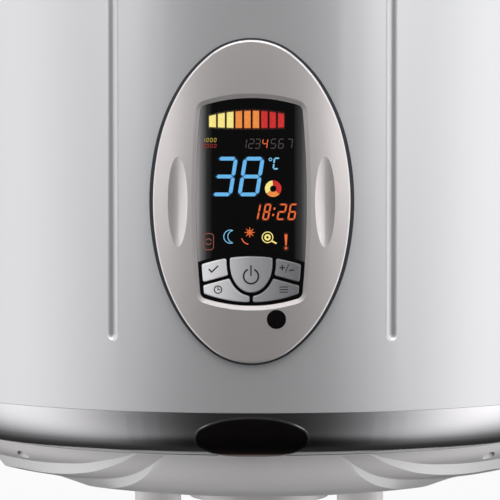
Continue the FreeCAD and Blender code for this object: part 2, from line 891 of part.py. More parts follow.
def pipe_collar(side):
    x = side * pipe_x
    top = collar_top()
    sleeve = upright(collar_radius, collar_bottom, top - collar_flange_thickness / 2, x, 0.0)
    rim = [edge for edge in sleeve.Edges if edge.Closed and abs(edge.CenterOfMass.z - collar_bottom) < 0.01]
    sleeve = sleeve.makeChamfer(1.2, rim)
    flange = upright(collar_radius + collar_flange, top - collar_flange_thickness, top, x, 0.0)
    bore = upright(nipple_radius + hole_clearance, collar_bottom, top, x, 0.0)
    return sleeve.fuse(flange).cut(bore)


# Safety cut-out

def cutout_body():
    body = block(-cutout_width / 2, cutout_width / 2, cutout_front, cutout_front + cutout_depth,
                 cutout_top - cutout_height, cutout_top)
    upright_edges = [edge for edge in body.Edges if abs(edge.tangentAt(edge.FirstParameter).z) > 0.9]
    body = body.makeFillet(2.0, upright_edges)
    bore = upright(reset_radius + reset_clearance, cutout_top - cutout_height, cutout_top - 4.0, 0.0, reset_front)
    blades = [block(x - 0.4, x + 0.4, cutout_front + 30.0, cutout_front + 36.0, cutout_top - 1.0, cutout_top + 6.0)
              for x in (-11.0, -4.0, 4.0, 11.0)]
    return joined([body.cut(bore)] + blades)


def cutout_bracket():
    half = cutout_width / 2
    wall = block(-half, half, cutout_front - cutout_sheet, cutout_front, cutout_top - cutout_height, plate_bottom)
    foot = block(-half, half, cutout_front - 16.0, cutout_front, plate_bottom - cutout_sheet, plate_bottom)
    tips = block(-half, half, cutout_front - 1.0, cutout_front + 8.0,
                 cutout_top - cutout_height - cutout_sheet, cutout_top - cutout_height)
    return joined([wall, foot, tips])


def reset_button():
    low = cutout_top - cutout_height - reset_proud
    high = cutout_top - 4.0 - reset_travel - small_step
    pin = upright(reset_radius, low, high, 0.0, reset_front)
    rim = [edge for edge in pin.Edges if edge.Closed and abs(edge.CenterOfMass.z - low) < 0.01]
    return pin.makeChamfer(0.6, rim)


# Wiring

def power_board():
    """Board with its relays and transformer, hung from the base plate on four stand-offs."""
    half = power_board_width / 2
    top = plate_bottom - power_board_drop
    back = power_board_front + power_board_depth
    board = block(-half, half, power_board_front, back, top - board_thickness, top)
    feet = [upright(3.0, top - small_step, plate_bottom, x, y)
            for x in (-half + 5.0, half - 5.0) for y in (power_board_front + 5.0, back - 5.0)]
    low = top - board_thickness
    relays = [block(x, x + relay_size[0], power_board_front + 8.0, power_board_front + 8.0 + relay_size[1],
                    low - relay_size[2], low + small_step) for x in (-46.0, -12.0)]
    transformer = block(24.0, 50.0, power_board_front + 8.0, power_board_front + 34.0, low - 18.0, low + small_step)
    capacitor = upright(5.0, low - 14.0, low + small_step, -20.0, back - 12.0)
    return joined([board] + feet + relays + [transformer, capacitor])


def terminal_block():
    x, y = terminal_block_spot
    length, width, height = terminal_block_size
    body = block(x, x + length, y - width / 2, y + width / 2, plate_bottom - height, plate_bottom)
    ways = 3
    pitch = length / ways
    for way in range(ways):
        centre = x + pitch * (way + 0.5)
        body = body.cut(upright(3.2, plate_bottom - height, plate_bottom - height + 7.0, centre, y))
        entry = Part.makeCylinder(2.6, width, Vector(centre, y - width / 2, plate_bottom - height + 12.0),
                                  Vector(0, 1, 0))
        body = body.cut(entry)
    return body


def earth_stud():
    x, y = earth_spot
    rod = upright(earth_radius, plate_bottom - earth_length, plate_top + earth_head, x, y)
    nut = hexagon(earth_flats, plate_bottom - 4.0, plate_bottom, x, y)
    head = hexagon(earth_flats, plate_top, plate_top + earth_head, x, y)
    return joined([rod, nut, head])


def cable_gland():
    """Threaded body through the cap's bottom, its hexagon outside and its lock nut inside."""
    seat_low = gland_seat_low()
    seat_high = gland_seat_high()
    head_low = seat_low - gland_head
    low = head_low - gland_cone
    high = seat_high + gland_nut + gland_tail
    body = upright(gland_radius, head_low, high, 0.0, gland_back)
    head = hexagon(gland_flats, head_low, seat_low, 0.0, gland_back)
    cone = Part.makeCone(gland_radius - 1.5, gland_flats / 2 - 0.5, gland_cone, Vector(0.0, gland_back, low))
    nut = hexagon(gland_flats, seat_high, seat_high + gland_nut, 0.0, gland_back)
    return joined([body, head, cone, nut]).cut(upright(gland_bore, low, high, 0.0, gland_back))


# Wall brackets

def wall_bracket(height):
    """Strip with a flat middle on the casing and two ears that lie on the wall."""
    near = casing_radius + band_gap
    far = axis_to_wall - bracket_sheet
    bend_x = bracket_flat_half + bracket_bend_run
    front = [(-bracket_half_width, far), (-bend_x, far), (-bracket_flat_half, near),
             (bracket_flat_half, near), (bend_x, far), (bracket_half_width, far)]
    slope = math.atan2(far - near, bracket_bend_run)
    shift = bracket_sheet * math.tan(slope / 2)
    back = [(bracket_half_width, far + bracket_sheet), (bend_x - shift, far + bracket_sheet),
            (bracket_flat_half - shift, near + bracket_sheet), (-bracket_flat_half + shift, near + bracket_sheet),
            (-bend_x + shift, far + bracket_sheet), (-bracket_half_width, far + bracket_sheet)]
    low = height - bracket_band / 2
    spots = [Vector(x, y, low) for x, y in front + back]
    strip = Part.Face(Part.makePolygon(spots + spots[:1])).extrude(Vector(0, 0, bracket_band))
    corners = [edge for edge in strip.Edges if edge.Length < bracket_sheet + 0.1
               and abs(abs(edge.CenterOfMass.x) - bracket_half_width) < 0.01]
    strip = strip.makeFillet(6.0, corners)
    for side in (-1, 1):
        strip = strip.cut(slot(side * slot_spacing / 2, height))
        strip = strip.cut(backward(post_screw_radius + hole_clearance, casing_radius, axis_to_wall,
                                   side * post_half_spacing, height))
    return strip


def slot(x, z):
    half_run = (slot_length - slot_width) / 2
    ends = [backward(slot_width / 2, casing_radius, axis_to_wall, x + side * half_run, z) for side in (-1, 1)]
    middle = block(x - half_run, x + half_run, casing_radius, axis_to_wall, z - slot_width / 2, z + slot_width / 2)
    return joined(ends + [middle])


def bracket_screws():
    screws = []
    seat = casing_radius + band_gap + bracket_sheet
    for x, z in post_spots():
        shank = backward(post_screw_radius, seat - post_screw_length, seat + 1.0, x, z)
        head = hexagon(2 * post_head_radius, 0.0, post_head_height)
        head.rotate(Vector(0, 0, 0), Vector(1, 0, 0), -90.0)
        screws.append(joined([shank, moved(head, x, seat, z)]))
    return Part.makeCompound(screws)


# Control panel: outlines lie in the XZ plane about the panel's centre

panel_front_limit = -(bezel_reach + 20.0)
panel_back_limit = -(casing_radius - 60.0)


def oval(half):
    """Oval in the XZ plane, drawn with tangent arcs."""
    ends = sorted([Vector(half[0], 0, 0), Vector(0, 0, half[1])], key=lambda end: -end.Length)
    curve = Part.Ellipse(ends[0], ends[1], Vector(0, 0, 0))
    arcs = curve.toBSpline().toBiArcs(oval_tolerance)
    return Part.Face(Part.Wire([arc.toShape() for arc in arcs]))


def disc(radius, x, z):
    return Part.Face(Part.Wire(Part.makeCircle(radius, Vector(x, 0, z), Vector(0, 1, 0))))


def panel_column(face, height=panel_height):
    return moved(face, 0, panel_front_limit, height).extrude(Vector(0, panel_back_limit - panel_front_limit, 0))


def inward(radius, front, back, x, z):
    """Round bar along Y on the panel, between two distances from the casing's axis."""
    return Part.makeCylinder(radius, front - back, Vector(x, -front, panel_height + z), Vector(0, 1, 0))


def front_column(half, z, extra):
    """Lying oval column through the bottom trim ring's front."""
    return panel_column(oval((half[0] + extra, half[1] + extra)), z)


def crown(reach):
    """Everything behind the panel's crowned surface that passes reach in front of the axis."""
    half = bezel_half[0] + crown_margin
    sag = crown_across - math.sqrt(crown_across * crown_across - half * half)
    arc = Part.Arc(Vector(-half, sag - reach, 0), Vector(0, -reach, 0), Vector(half, sag - reach, 0)).toShape()
    sides = Part.makePolygon([Vector(half, sag - reach, 0), Vector(half, 0, 0), Vector(-half, 0, 0),
                              Vector(-half, sag - reach, 0)])
    section = Part.Face(Part.Wire([arc] + sides.Edges))
    centre = Vector(0, crown_along - reach, 0)
    turn = math.degrees(math.asin((bezel_half[1] + crown_margin) / crown_along))
    section.rotate(centre, Vector(1, 0, 0), -turn)
    body = section.revolve(centre, Vector(1, 0, 0), 2 * turn)
    return moved(body if body.Volume > 0 else body.reversed(), 0, 0, panel_height)


def layer(column, front, back):
    """The part of a column between two crowned surfaces."""
    return column.common(crown(front)).cut(crown(back))


def sharp_edges(solid):
    """Edges along Y where two sides meet at an angle."""
    found = []
    for edge in solid.Edges:
        if abs(edge.tangentAt(edge.FirstParameter).y) < 0.99 or len(edge.Vertexes) < 2:
            continue
        spot = edge.CenterOfMass
        normals = []
        for face in solid.ancestorsOfType(edge, Part.Face):
            u, v = face.Surface.parameter(spot)
            normals.append(face.normalAt(u, v))
        if len(normals) == 2 and normals[0].getAngle(normals[1]) > 0.2:
            found.append(edge)
    return found


def rounded_column(face, radius):
    column = panel_column(face)
    return column.makeFillet(radius, sharp_edges(column))


def window_face(grow):
    x = window_corner[0] + grow
    z = window_corner[1] + grow
    corners = [Vector(-x, 0, z), Vector(x, 0, z), Vector(x, 0, -z), Vector(-x, 0, -z)]
    middles = [Vector(0, 0, window_end + grow), Vector(window_side + grow, 0, 0),
               Vector(0, 0, -window_end - grow), Vector(-window_side - grow, 0, 0)]
    arcs = [Part.Arc(corners[index], middles[index], corners[(index + 1) % 4]).toShape() for index in range(4)]
    return Part.Face(Part.Wire(arcs))


def window_column(grow):
    return rounded_column(window_face(grow), window_round + grow)


def below_arc(grow):
    """Disc whose upper edge is the arc along the tops of the keys."""
    return disc(key_top_radius + grow, 0.0, key_top - key_top_radius)


def power_face(grow):
    """U-shaped outline: straight shoulders over half an oval."""
    half_x = power_key_half[0] + grow
    half_z = power_key_half[1] + grow
    top = key_top + key_gap
    shoulder = power_key_shoulder
    curve = Part.Ellipse(Vector(0, 0, shoulder - half_z), Vector(half_x, 0, shoulder), Vector(0, 0, shoulder))
    bowl = Part.ArcOfEllipse(curve, -math.pi / 2, math.pi / 2).toShape()
    sides = Part.makePolygon([Vector(half_x, 0, shoulder), Vector(half_x, 0, top), Vector(-half_x, 0, top),
                              Vector(-half_x, 0, shoulder)])
    return Part.Face(Part.Wire(Part.sortEdges([bowl] + sides.Edges)[0]))


def flat_block(x_low, x_high, z_low, z_high):
    spots = [Vector(x_low, 0, z_low), Vector(x_high, 0, z_low), Vector(x_high, 0, z_high), Vector(x_low, 0, z_high)]
    return Part.Face(Part.makePolygon(spots + spots[:1]))


def split_strip(half_thickness):
    """Slanting gap between the upper and lower key on the left."""
    strip = flat_block(-60.0, 60.0, -half_thickness, half_thickness)
    strip.rotate(Vector(0, 0, 0), Vector(0, 1, 0), -key_split_angle)
    return moved(strip, -key_split_x, 0, key_split_height)


def key_field(grow):
    return window_face(grow - key_margin).common(below_arc(grow))


def power_key_column(grow):
    face = power_face(grow).common(below_arc(grow))
    return rounded_column(face.Faces[0], key_round + grow)


def left_key_column(upper, grow):
    """One of the two keys left of the power key, or the hole that it stands in."""
    face = key_field(grow).common(flat_block(-60.0, grow - key_gap / 2, -80.0, 0.0))
    face = face.cut(power_face(key_gap - grow)).cut(split_strip(key_gap / 2 - grow))
    picks = sorted(face.Faces, key=lambda piece: piece.CenterOfMass.z)
    return rounded_column(picks[-1] if upper else picks[0], key_round + grow)


def across(shape):
    """The same shape on the panel's other side."""
    return shape.mirror(Vector(0, 0, 0), Vector(1, 0, 0))


def key_holes():
    upper = left_key_column(True, key_clearance)
    lower = left_key_column(False, key_clearance)
    return [power_key_column(key_clearance), upper, lower, across(upper), across(lower)]


def key(column, flange_column, spot):
    cap = layer(column, bezel_reach, key_back)
    cap = cap.makeChamfer(key_edge_round, front_face(cap).OuterWire.Edges)
    flange = layer(flange_column, key_flange_front, key_back)
    x, z = spot
    stem = inward(stem_radius, key_back + 0.5 - boss_drop(x, z), plunger_front, x, z)
    return joined([cap, flange, stem])


def keys():
    power = key(power_key_column(0.0), power_key_column(key_flange), power_stem)
    upper = key(left_key_column(True, 0.0), left_key_column(True, key_flange), mirrored_spot(upper_stem))
    lower = key(left_key_column(False, 0.0), left_key_column(False, key_flange), mirrored_spot(lower_stem))
    return {"power_key": power, "confirm_key": upper, "set_key": lower,
            "plus_minus_key": across(upper), "mode_key": across(lower)}


def mirrored_spot(spot):
    return -spot[0], spot[1]


stem_spots = {
    "power_key": power_stem,
    "confirm_key": mirrored_spot(upper_stem),
    "set_key": mirrored_spot(lower_stem),
    "plus_minus_key": upper_stem,
    "mode_key": lower_stem,
}


def front_face(solid):
    return min(solid.Faces, key=lambda face: face.BoundBox.YMin)


def plunger(spot):
    return inward(plunger_radius, plunger_front, plunger_back, *spot)


def tact_switches():
    switches = []
    half = switch_size / 2
    for x, z in stem_spots.values():
        height = panel_height + z
        body = block(x - half, x + half, -switch_front, -board_front, height - half, height + half)
        bore = inward(plunger_radius + plunger_clearance, switch_front,
                      plunger_back - key_travel - small_step, x, z)
        switches.append(body.cut(bore))
    return Part.makeCompound(switches)


def dimple(side, extra):
    """Ring whose tube sinks a lens-shaped hollow with pointed ends into the crown."""
    half_x, half_z = thumb_dimple_half
    tube_radius = (half_x * half_x + thumb_dimple_depth ** 2) / (2 * thumb_dimple_depth)
    along = half_z * half_z / (2 * thumb_dimple_depth)
    lean = math.asin(thumb_dimple_x / crown_across)
    distance = crown_across - thumb_dimple_depth + along
    x = side * distance * math.sin(lean)
    y = crown_across - bezel_reach - distance * math.cos(lean)
    tangent = Vector(math.cos(lean), side * math.sin(lean), 0)
    return Part.makeTorus(along - tube_radius, tube_radius + extra, Vector(x, y, panel_height), tangent)


def hooks():
    """Four snap hooks that hold the bezel in the casing's opening."""
    found = []
    half = hook_width / 2
    for sign in (-1, 1):
        reach = opening_half[0]
        near = reach - 0.4 - hook_thickness
        sag = casing_radius - math.sqrt(casing_radius ** 2 - reach ** 2)
        back = casing_radius - casing_sheet - sag - small_step
        low = back - hook_depth
        x_low, x_high = sorted((sign * near, sign * (near + hook_thickness)))
        found.append(block(x_low, x_high, -casing_radius, -low, panel_height - half, panel_height + half))
        x_low, x_high = sorted((sign * near, sign * (reach + hook_bite)))
        found.append(block(x_low, x_high, -back + 0.6, -low, panel_height - half, panel_height + half))
        reach = opening_half[1]
        near = reach - 0.4 - hook_thickness
        back = casing_radius - casing_sheet - small_step
        low = back - hook_depth
        z_low, z_high = sorted((sign * near, sign * (near + hook_thickness)))
        found.append(block(-half, half, -casing_radius - 3.0, -low, panel_height + z_low, panel_height + z_high))
        z_low, z_high = sorted((sign * near, sign * (reach + hook_bite)))
        found.append(block(-half, half, -back, -low, panel_height + z_low, panel_height + z_high))
    return found


def bezel_form():
    """The bezel's outside: crowned oval, its rounded edge, bevelled opening and thumb dimples."""
    body = panel_column(oval(bezel_half)).common(crown(bezel_reach))
    body = body.makeFillet(bezel_edge_round, front_face(body).OuterWire.Edges)
    body = body.cut(window_column(window_gap))
    openings = [wire for wire in front_face(body).Wires if wire.BoundBox.XLength < 2 * bezel_half[0] - 10.0]
    body = body.makeChamfer(window_bevel[0], window_bevel[1], openings[0].Edges)
    return without(body, [dimple(side, 0.0) for side in (-1, 1)])


def panel_bezel():
    low = panel_height - 2 * bezel_half[1]
    high = panel_height + 2 * bezel_half[1]
    seat = upright(casing_radius + panel_seal + 2 * seat_gap, low, high)
    cavity = panel_column(oval((tray_half[0] + small_step, tray_half[1] + small_step)))
    cavity = cavity.common(crown(bezel_reach - bezel_wall))
    cavity = without(cavity, [dimple(side, bezel_wall) for side in (-1, 1)])
    body = bezel_form().cut(seat).cut(cavity)
    x, z = receiver_spot
    body = body.cut(inward(receiver_radius + window_gap, bezel_reach + 5.0, tray_floor, x, z))
    bosses = [inward(tray_post_radius, bezel_reach - bezel_wall - boss_drop(x, z) + 1.0, board_front, x, z)
              for x, z in tray_screws]
    body = joined([body] + bosses + hooks())
    pilots = [inward(tray_screw_radius + tight_clearance, tray_floor + tray_wall + tray_screw_length,
                     tray_floor, x, z) for x, z in tray_screws]
    return without(body, pilots)


def boss_drop(x, z):
    """How far the crown has fallen away at a spot of the panel."""
    return x * x / (2 * crown_across) + z * z / (2 * crown_along)


def panel_gasket():
    low = panel_height - 2 * bezel_half[1]
    high = panel_height + 2 * bezel_half[1]
    band = tube(casing_radius + panel_seal + seat_gap, casing_radius + seat_gap, low, high)
    outer = panel_column(oval((bezel_half[0] + seal_margin[0], bezel_half[1] + seal_margin[1])))
    inner = panel_column(oval((opening_half[0] + small_step, opening_half[1] + small_step)))
    return outer.common(band).cut(inner)


def glass_column_parts(face_tool, keep_inside):
    parts = []
    for grow in (0.0, glass_flange_width):
        column = window_column(grow)
        parts.append(column.common(face_tool) if keep_inside else column.cut(face_tool))
    return parts


def glass(parts):
    front = layer(parts[0], glass_reach, glass_back)
    flange = layer(parts[1], glass_flange_front, glass_back)
    return joined([front, flange])


def window_split(grow):
    """Column below the joint between the window and the key surround."""
    return panel_column(below_arc(key_margin + grow))


def display_window():
    return glass(glass_column_parts(window_split(seat_gap), False))


def key_surround():
    body = glass(glass_column_parts(window_split(0.0), True))
    return without(body, key_holes())


def panel_slab(front, back):
    """Flat slab as large as the bezel, between two distances from the casing's axis."""
    half_x, half_z = bezel_half
    return block(-half_x, half_x, -front, -back, panel_height - half_z, panel_height + half_z)


def panel_tray():
    outer = panel_column(oval(tray_half))
    inner = panel_column(oval((tray_half[0] - tray_wall, tray_half[1] - tray_wall)))
    roof = bezel_reach - bezel_wall - small_step
    behind = panel_slab(tray_floor, 0.0)
    wall = outer.cut(inner).common(crown(roof)).cut(behind)
    floor = outer.common(panel_slab(tray_floor + tray_wall, tray_floor))
    posts = [inward(tray_post_radius, board_back, tray_floor, x, z) for x, z in tray_screws]
    body = joined([wall, floor] + posts)
    for side in (-1, 1):
        body = body.cut(dimple(side, bezel_wall + small_step))
    holes = [inward(tray_screw_radius + hole_clearance, bezel_reach, tray_floor, x, z) for x, z in tray_screws]
    return without(body, holes)


def panel_screws():
    screws = []
    for x, z in tray_screws:
        shank = inward(tray_screw_radius, tray_floor + tray_screw_length, tray_floor - 0.5, x, z)
        head = inward(tray_head_radius, tray_floor, tray_floor - tray_head_height, x, z)
        screws.append(joined([shank, head]))
    return Part.makeCompound(screws)


def display_board():
    """Board with the infrared receiver soldered on its front."""
    half = (tray_half[0] - tray_wall - display_board_margin, tray_half[1] - tray_wall - display_board_margin)
    board = panel_column(oval(half)).common(panel_slab(board_front, board_back))
    holes = [inward(tray_screw_radius + hole_clearance, board_front, board_back, x, z) for x, z in tray_screws]
    x, z = receiver_spot
    height = panel_height + z
    can = block(x - 3.0, x + 3.0, -board_front - 4.0, -board_front, height - 3.5, height + 3.5)
    eye = Part.makeCylinder(2.4, 1.4, Vector(x, -board_front - 3.8, height), Vector(0, -1, 0))
    return joined([without(board, holes), can, eye])


def display_module():
    return block(-module_half_width, module_half_width, -board_front - module_thickness, -board_front,
                 panel_height + module_low, panel_height + module_high)


def receiver_window():
    x, z = receiver_spot
    front = layer(inward(receiver_radius, bezel_reach + 5.0, board_front, x, z), bezel_reach - receiver_ring / 3,
                  glass_back)
    flange = layer(inward(receiver_radius + receiver_ring, bezel_reach + 5.0, board_front, x, z),
                   glass_flange_front, glass_back)
    return joined([front, flange])


# Indicator lamp

def lens_layer(half, drop, extra, front, back):
    """Part of a lying oval column between two surfaces that follow the trim ring."""
    core = upright(casing_radius - ring_step, -2 * ring_drop, ring_drop)
    column = front_column(half, -drop, extra)
    return column.common(ring_solid(front)).cut(ring_solid(back)).cut(core)


def indicator_lens():
    cover = lens_layer(lens_half, lens_drop, 0.0, -lens_proud, -seat_gap)
    plug = lens_layer(lens_plug_half, lens_plug_drop, 0.0, -lens_proud, ring_wall + 0.6)
    pins = [Part.makeCylinder(lens_pin_radius, ring_reach(side * lens_pin_x) - lamp_board_reach,
                              Vector(side * lens_pin_x, -ring_reach(side * lens_pin_x), -lens_plug_drop),
                              Vector(0, 1, 0)) for side in (-1, 1)]
    return joined([cover, plug] + pins)


def ring_reach(x):
    """How far in front of the axis the ring's outer face lies at the lens pins."""
    turn = math.degrees(math.asin(lens_plug_drop / ring_drop))
    radius = ring_spot(0.0, turn)[0]
    return math.sqrt(radius * radius - x * x) - 1.0


def indicator_rim():
    band = lens_layer(lens_half, lens_drop, lens_rim_width + seat_gap, -lens_rim_proud, -seat_gap)
    return band.cut(front_column(lens_half, -lens_drop, seat_gap))


def indicator_board():
    """Upright board with three lamps, carried on the lens pins."""
    board = block(-lamp_board_half, lamp_board_half, -lamp_board_reach, -lamp_board_reach + board_thickness,
                  lamp_board_low, lamp_board_high)
    middle = (lamp_board_low + lamp_board_high) / 2
    lamps = []
    for index in (-1, 0, 1):
        spot = Vector(index * lamp_spacing, -lamp_board_reach + small_step, middle)
        lamps.append(Part.makeCylinder(lamp_radius, lamp_length - lamp_radius + small_step, spot, Vector(0, -1, 0)))
        lamps.append(Part.makeCone(lamp_radius, lamp_radius / 2, lamp_radius,
                                   Vector(spot.x, lamp_radius - lamp_board_reach - lamp_length, middle),
                                   Vector(0, -1, 0)))
    return joined([board] + lamps)


def main():
    os.makedirs("parts", exist_ok=True)
    export("outer_casing", outer_casing())
    export("bottom_trim_ring", bottom_trim_ring())
    export("top_trim_ring", top_trim_ring())
    export("bottom_cap", bottom_cap())
    export("top_cap", top_cap())
    export("cover_screws", cover_screws())
    export("service_cover", service_cover())
    export("base_plate", base_plate())
    export("insulation_foam", foam())
    export("tank_shell", tank_shell())
    export("tank_top_dome", tank_dome(shell_high, 1))
    export("tank_bottom_dome", tank_bottom_dome())
    export("tank_flange_neck", tank_flange_neck())
    export("flange_gasket", flange_gasket())
    export("heating_flange", heating_flange())
    export("flange_nuts", flange_nuts())
    export("small_heating_element", hairpin(small_element_legs, small_element_height))
    export("large_heating_element", hairpin(large_element_legs, large_element_height))
    export("anode_rod", anode_rod())
    export("sensor_pocket", sensor_pocket())
    export("temperature_sensor", temperature_sensor())
    export("cold_nipple", nipple(1))
    export("hot_nipple", nipple(-1))
    export("cold_diffuser", cold_diffuser())
    export("hot_riser_tube", hot_riser_tube())
    export("cold_collar", pipe_collar(1))
    export("hot_collar", pipe_collar(-1))
    export("cutout_body", cutout_body())
    export("cutout_bracket", cutout_bracket())
    export("reset_button", reset_button())
    export("power_board", power_board())
    export("terminal_block", terminal_block())
    export("earth_stud", earth_stud())
    export("cable_gland", cable_gland())
    export("upper_wall_bracket", wall_bracket(upper_bracket_height))
    export("lower_wall_bracket", wall_bracket(lower_bracket_height))
    export("bracket_screws", bracket_screws())
    export("panel_gasket", panel_gasket())
    export("panel_bezel", panel_bezel())
    export("panel_tray", panel_tray())
    export("panel_screws", panel_screws())
    export("display_window", display_window())
    export("key_surround", key_surround())
    export("display_board", display_board())
    export("display_module", display_module())
    export("tact_switches", tact_switches())
    export("receiver_window", receiver_window())
    for name, body in keys().items():
        export(name, body)
        export(name.replace("key", "plunger"), plunger(stem_spots[name]))
    export("indicator_lens", indicator_lens())
    export("indicator_rim", indicator_rim())
    export("indicator_board", indicator_board())


main()
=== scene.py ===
import json
import math

import bmesh
import bpy
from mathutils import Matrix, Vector


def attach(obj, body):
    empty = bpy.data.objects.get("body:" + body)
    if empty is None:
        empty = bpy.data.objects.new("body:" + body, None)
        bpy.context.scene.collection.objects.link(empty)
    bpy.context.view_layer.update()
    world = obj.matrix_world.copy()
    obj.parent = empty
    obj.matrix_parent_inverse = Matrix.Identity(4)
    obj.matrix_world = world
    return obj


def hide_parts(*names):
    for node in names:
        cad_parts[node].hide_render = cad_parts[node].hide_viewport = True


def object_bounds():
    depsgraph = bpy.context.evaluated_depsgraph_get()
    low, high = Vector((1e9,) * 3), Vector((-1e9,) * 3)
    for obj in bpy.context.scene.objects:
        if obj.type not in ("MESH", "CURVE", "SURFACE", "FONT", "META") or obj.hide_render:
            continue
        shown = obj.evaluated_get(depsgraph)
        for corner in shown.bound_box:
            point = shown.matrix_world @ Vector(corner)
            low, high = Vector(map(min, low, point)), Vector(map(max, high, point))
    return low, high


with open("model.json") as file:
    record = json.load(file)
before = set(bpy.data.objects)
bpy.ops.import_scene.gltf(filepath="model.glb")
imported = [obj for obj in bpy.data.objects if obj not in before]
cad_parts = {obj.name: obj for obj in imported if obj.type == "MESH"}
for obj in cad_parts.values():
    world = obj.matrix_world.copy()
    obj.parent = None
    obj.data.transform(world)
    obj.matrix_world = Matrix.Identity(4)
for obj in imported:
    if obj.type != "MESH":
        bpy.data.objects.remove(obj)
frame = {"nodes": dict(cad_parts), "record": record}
cad_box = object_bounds()
nodes = frame["nodes"]

MM = 0.001

# Sizes that part.py sets too, in millimetres
panel_centre = (0.0, -408.2)
wall_to_axis = 240.0
crown_reach = 233.0
crown_across = 160.0
crown_along = 1250.0
glass_sink = 1.4
seam_to_origin = 540.0
pipe_half_spacing = 70.0
gland_back = 118.0
source_centre_depth = 45.3
boss_proud = 3.3

# Camera and studio
camera_spot = (0.046, -2.440, -0.359)
camera_yaw = 1.36
camera_pitch = 2.293
camera_lens = 229.3
front_light = 0.03
side_light = 1.65
side_steepness = 4.0
right_gain = 0.10
low_left_power = 3.4
low_right_power = 1.5
side_flattening = 0.52
ground_fade = (-1.0, -0.86)
ground_light = 0.15
sky_fade = (0.20, 0.60)
sky_light = 0.35
floor_drop = 1.0
floor_diffuse_cut = 0.80
panel_target = (0.0, -0.24, -0.4)
top_target = (0.0, -0.24, -0.35)
cap_target = (0.0, -0.24, -0.60)


def node_tree(material):
    material.use_nodes = True
    tree = material.node_tree
    tree.nodes.clear()
    return tree


def add(tree, kind, **settings):
    node = tree.nodes.new(kind)
    for key, value in settings.items():
        setattr(node, key, value)
    return node


def ramp(tree, source, low, high, colours):
    """Colour ramp between positions low and high, fed by source."""
    node = add(tree, "ShaderNodeValToRGB")
    node.color_ramp.elements[0].position = low
    node.color_ramp.elements[1].position = high
    node.color_ramp.elements[0].color = (*colours[0], 1.0)
    node.color_ramp.elements[1].color = (*colours[1], 1.0)
    tree.links.new(source, node.inputs["Fac"])
    return node.outputs["Color"]


def spread(tree, source, low, high):
    node = add(tree, "ShaderNodeMapRange")
    node.inputs["To Min"].default_value = low
    node.inputs["To Max"].default_value = high
    tree.links.new(source, node.inputs["Value"])
    return node.outputs["Result"]


def noise(tree, scale, stretch=(1.0, 1.0, 1.0), detail=3.0):
    """Noise over the object's own coordinates, in metres."""
    place = add(tree, "ShaderNodeTexCoord")
    mapping = add(tree, "ShaderNodeMapping")
    mapping.inputs["Scale"].default_value = stretch
    tree.links.new(place.outputs["Object"], mapping.inputs["Vector"])
    cloud = add(tree, "ShaderNodeTexNoise")
    cloud.inputs["Scale"].default_value = scale
    cloud.inputs["Detail"].default_value = detail
    tree.links.new(mapping.outputs["Vector"], cloud.inputs["Vector"])
    return cloud.outputs["Fac"]


def finish(name, colour, rough, metal=0.0, coat=0.0, vary=0.04, patch=9.0, grain=900.0, relief=0.02,
           stretch=(1.0, 1.0, 1.0), rough_vary=0.06, coat_rough=0.1, specular=0.5):
    """Surface whose colour drifts slowly, with a fine grain in its gloss and its relief."""
    material = bpy.data.materials.new(name)
    tree = node_tree(material)
    shader = add(tree, "ShaderNodeBsdfPrincipled")
    output = add(tree, "ShaderNodeOutputMaterial")
    tree.links.new(shader.outputs["BSDF"], output.inputs["Surface"])
    dark = tuple(channel * (1.0 - vary) for channel in colour)
    light = tuple(min(1.0, channel * (1.0 + vary)) for channel in colour)
    tree.links.new(ramp(tree, noise(tree, patch), 0.3, 0.7, (dark, light)), shader.inputs["Base Color"])
    fine = noise(tree, grain, stretch, 4.0)
    tree.links.new(spread(tree, fine, rough - rough_vary, rough + rough_vary), shader.inputs["Roughness"])
    bump = add(tree, "ShaderNodeBump")
    bump.inputs["Strength"].default_value = relief
    bump.inputs["Distance"].default_value = 0.0002
    tree.links.new(fine, bump.inputs["Height"])
    tree.links.new(bump.outputs["Normal"], shader.inputs["Normal"])
    shader.inputs["Metallic"].default_value = metal
    shader.inputs["Coat Weight"].default_value = coat
    shader.inputs["Coat Roughness"].default_value = coat_rough
    shader.inputs["Specular IOR Level"].default_value = specular
    return material


def glow(name, colour, strength):
    """Lit display segment, a little brighter in its middle patches."""
    material = bpy.data.materials.new(name)
    tree = node_tree(material)
    shader = add(tree, "ShaderNodeBsdfPrincipled")
    output = add(tree, "ShaderNodeOutputMaterial")
    tree.links.new(shader.outputs["BSDF"], output.inputs["Surface"])
    dim = tuple(channel * 0.86 for channel in colour)
    shine = ramp(tree, noise(tree, 700.0), 0.35, 0.65, (dim, colour))
    tree.links.new(shine, shader.inputs["Emission Color"])
    tree.links.new(ramp(tree, noise(tree, 700.0), 0.35, 0.65, ((0.004, 0.004, 0.004), (0.01, 0.01, 0.01))),
                   shader.inputs["Base Color"])
    shader.inputs["Emission Strength"].default_value = strength
    shader.inputs["Roughness"].default_value = 0.3
    return material


def slope(tree, axis, start, end, low, high):
    """Value that runs from low to high between two places on one of the object's own axes."""
    place = add(tree, "ShaderNodeTexCoord")
    split = add(tree, "ShaderNodeSeparateXYZ")
    tree.links.new(place.outputs["Object"], split.inputs["Vector"])
    run = add(tree, "ShaderNodeMapRange")
    run.inputs["From Min"].default_value = start
    run.inputs["From Max"].default_value = end
    run.inputs["To Min"].default_value = low
    run.inputs["To Max"].default_value = high
    tree.links.new(split.outputs[axis], run.inputs["Value"])
    return run.outputs["Result"]


def shader_of(material):
    return next(node for node in material.node_tree.nodes if node.type == "BSDF_PRINCIPLED")


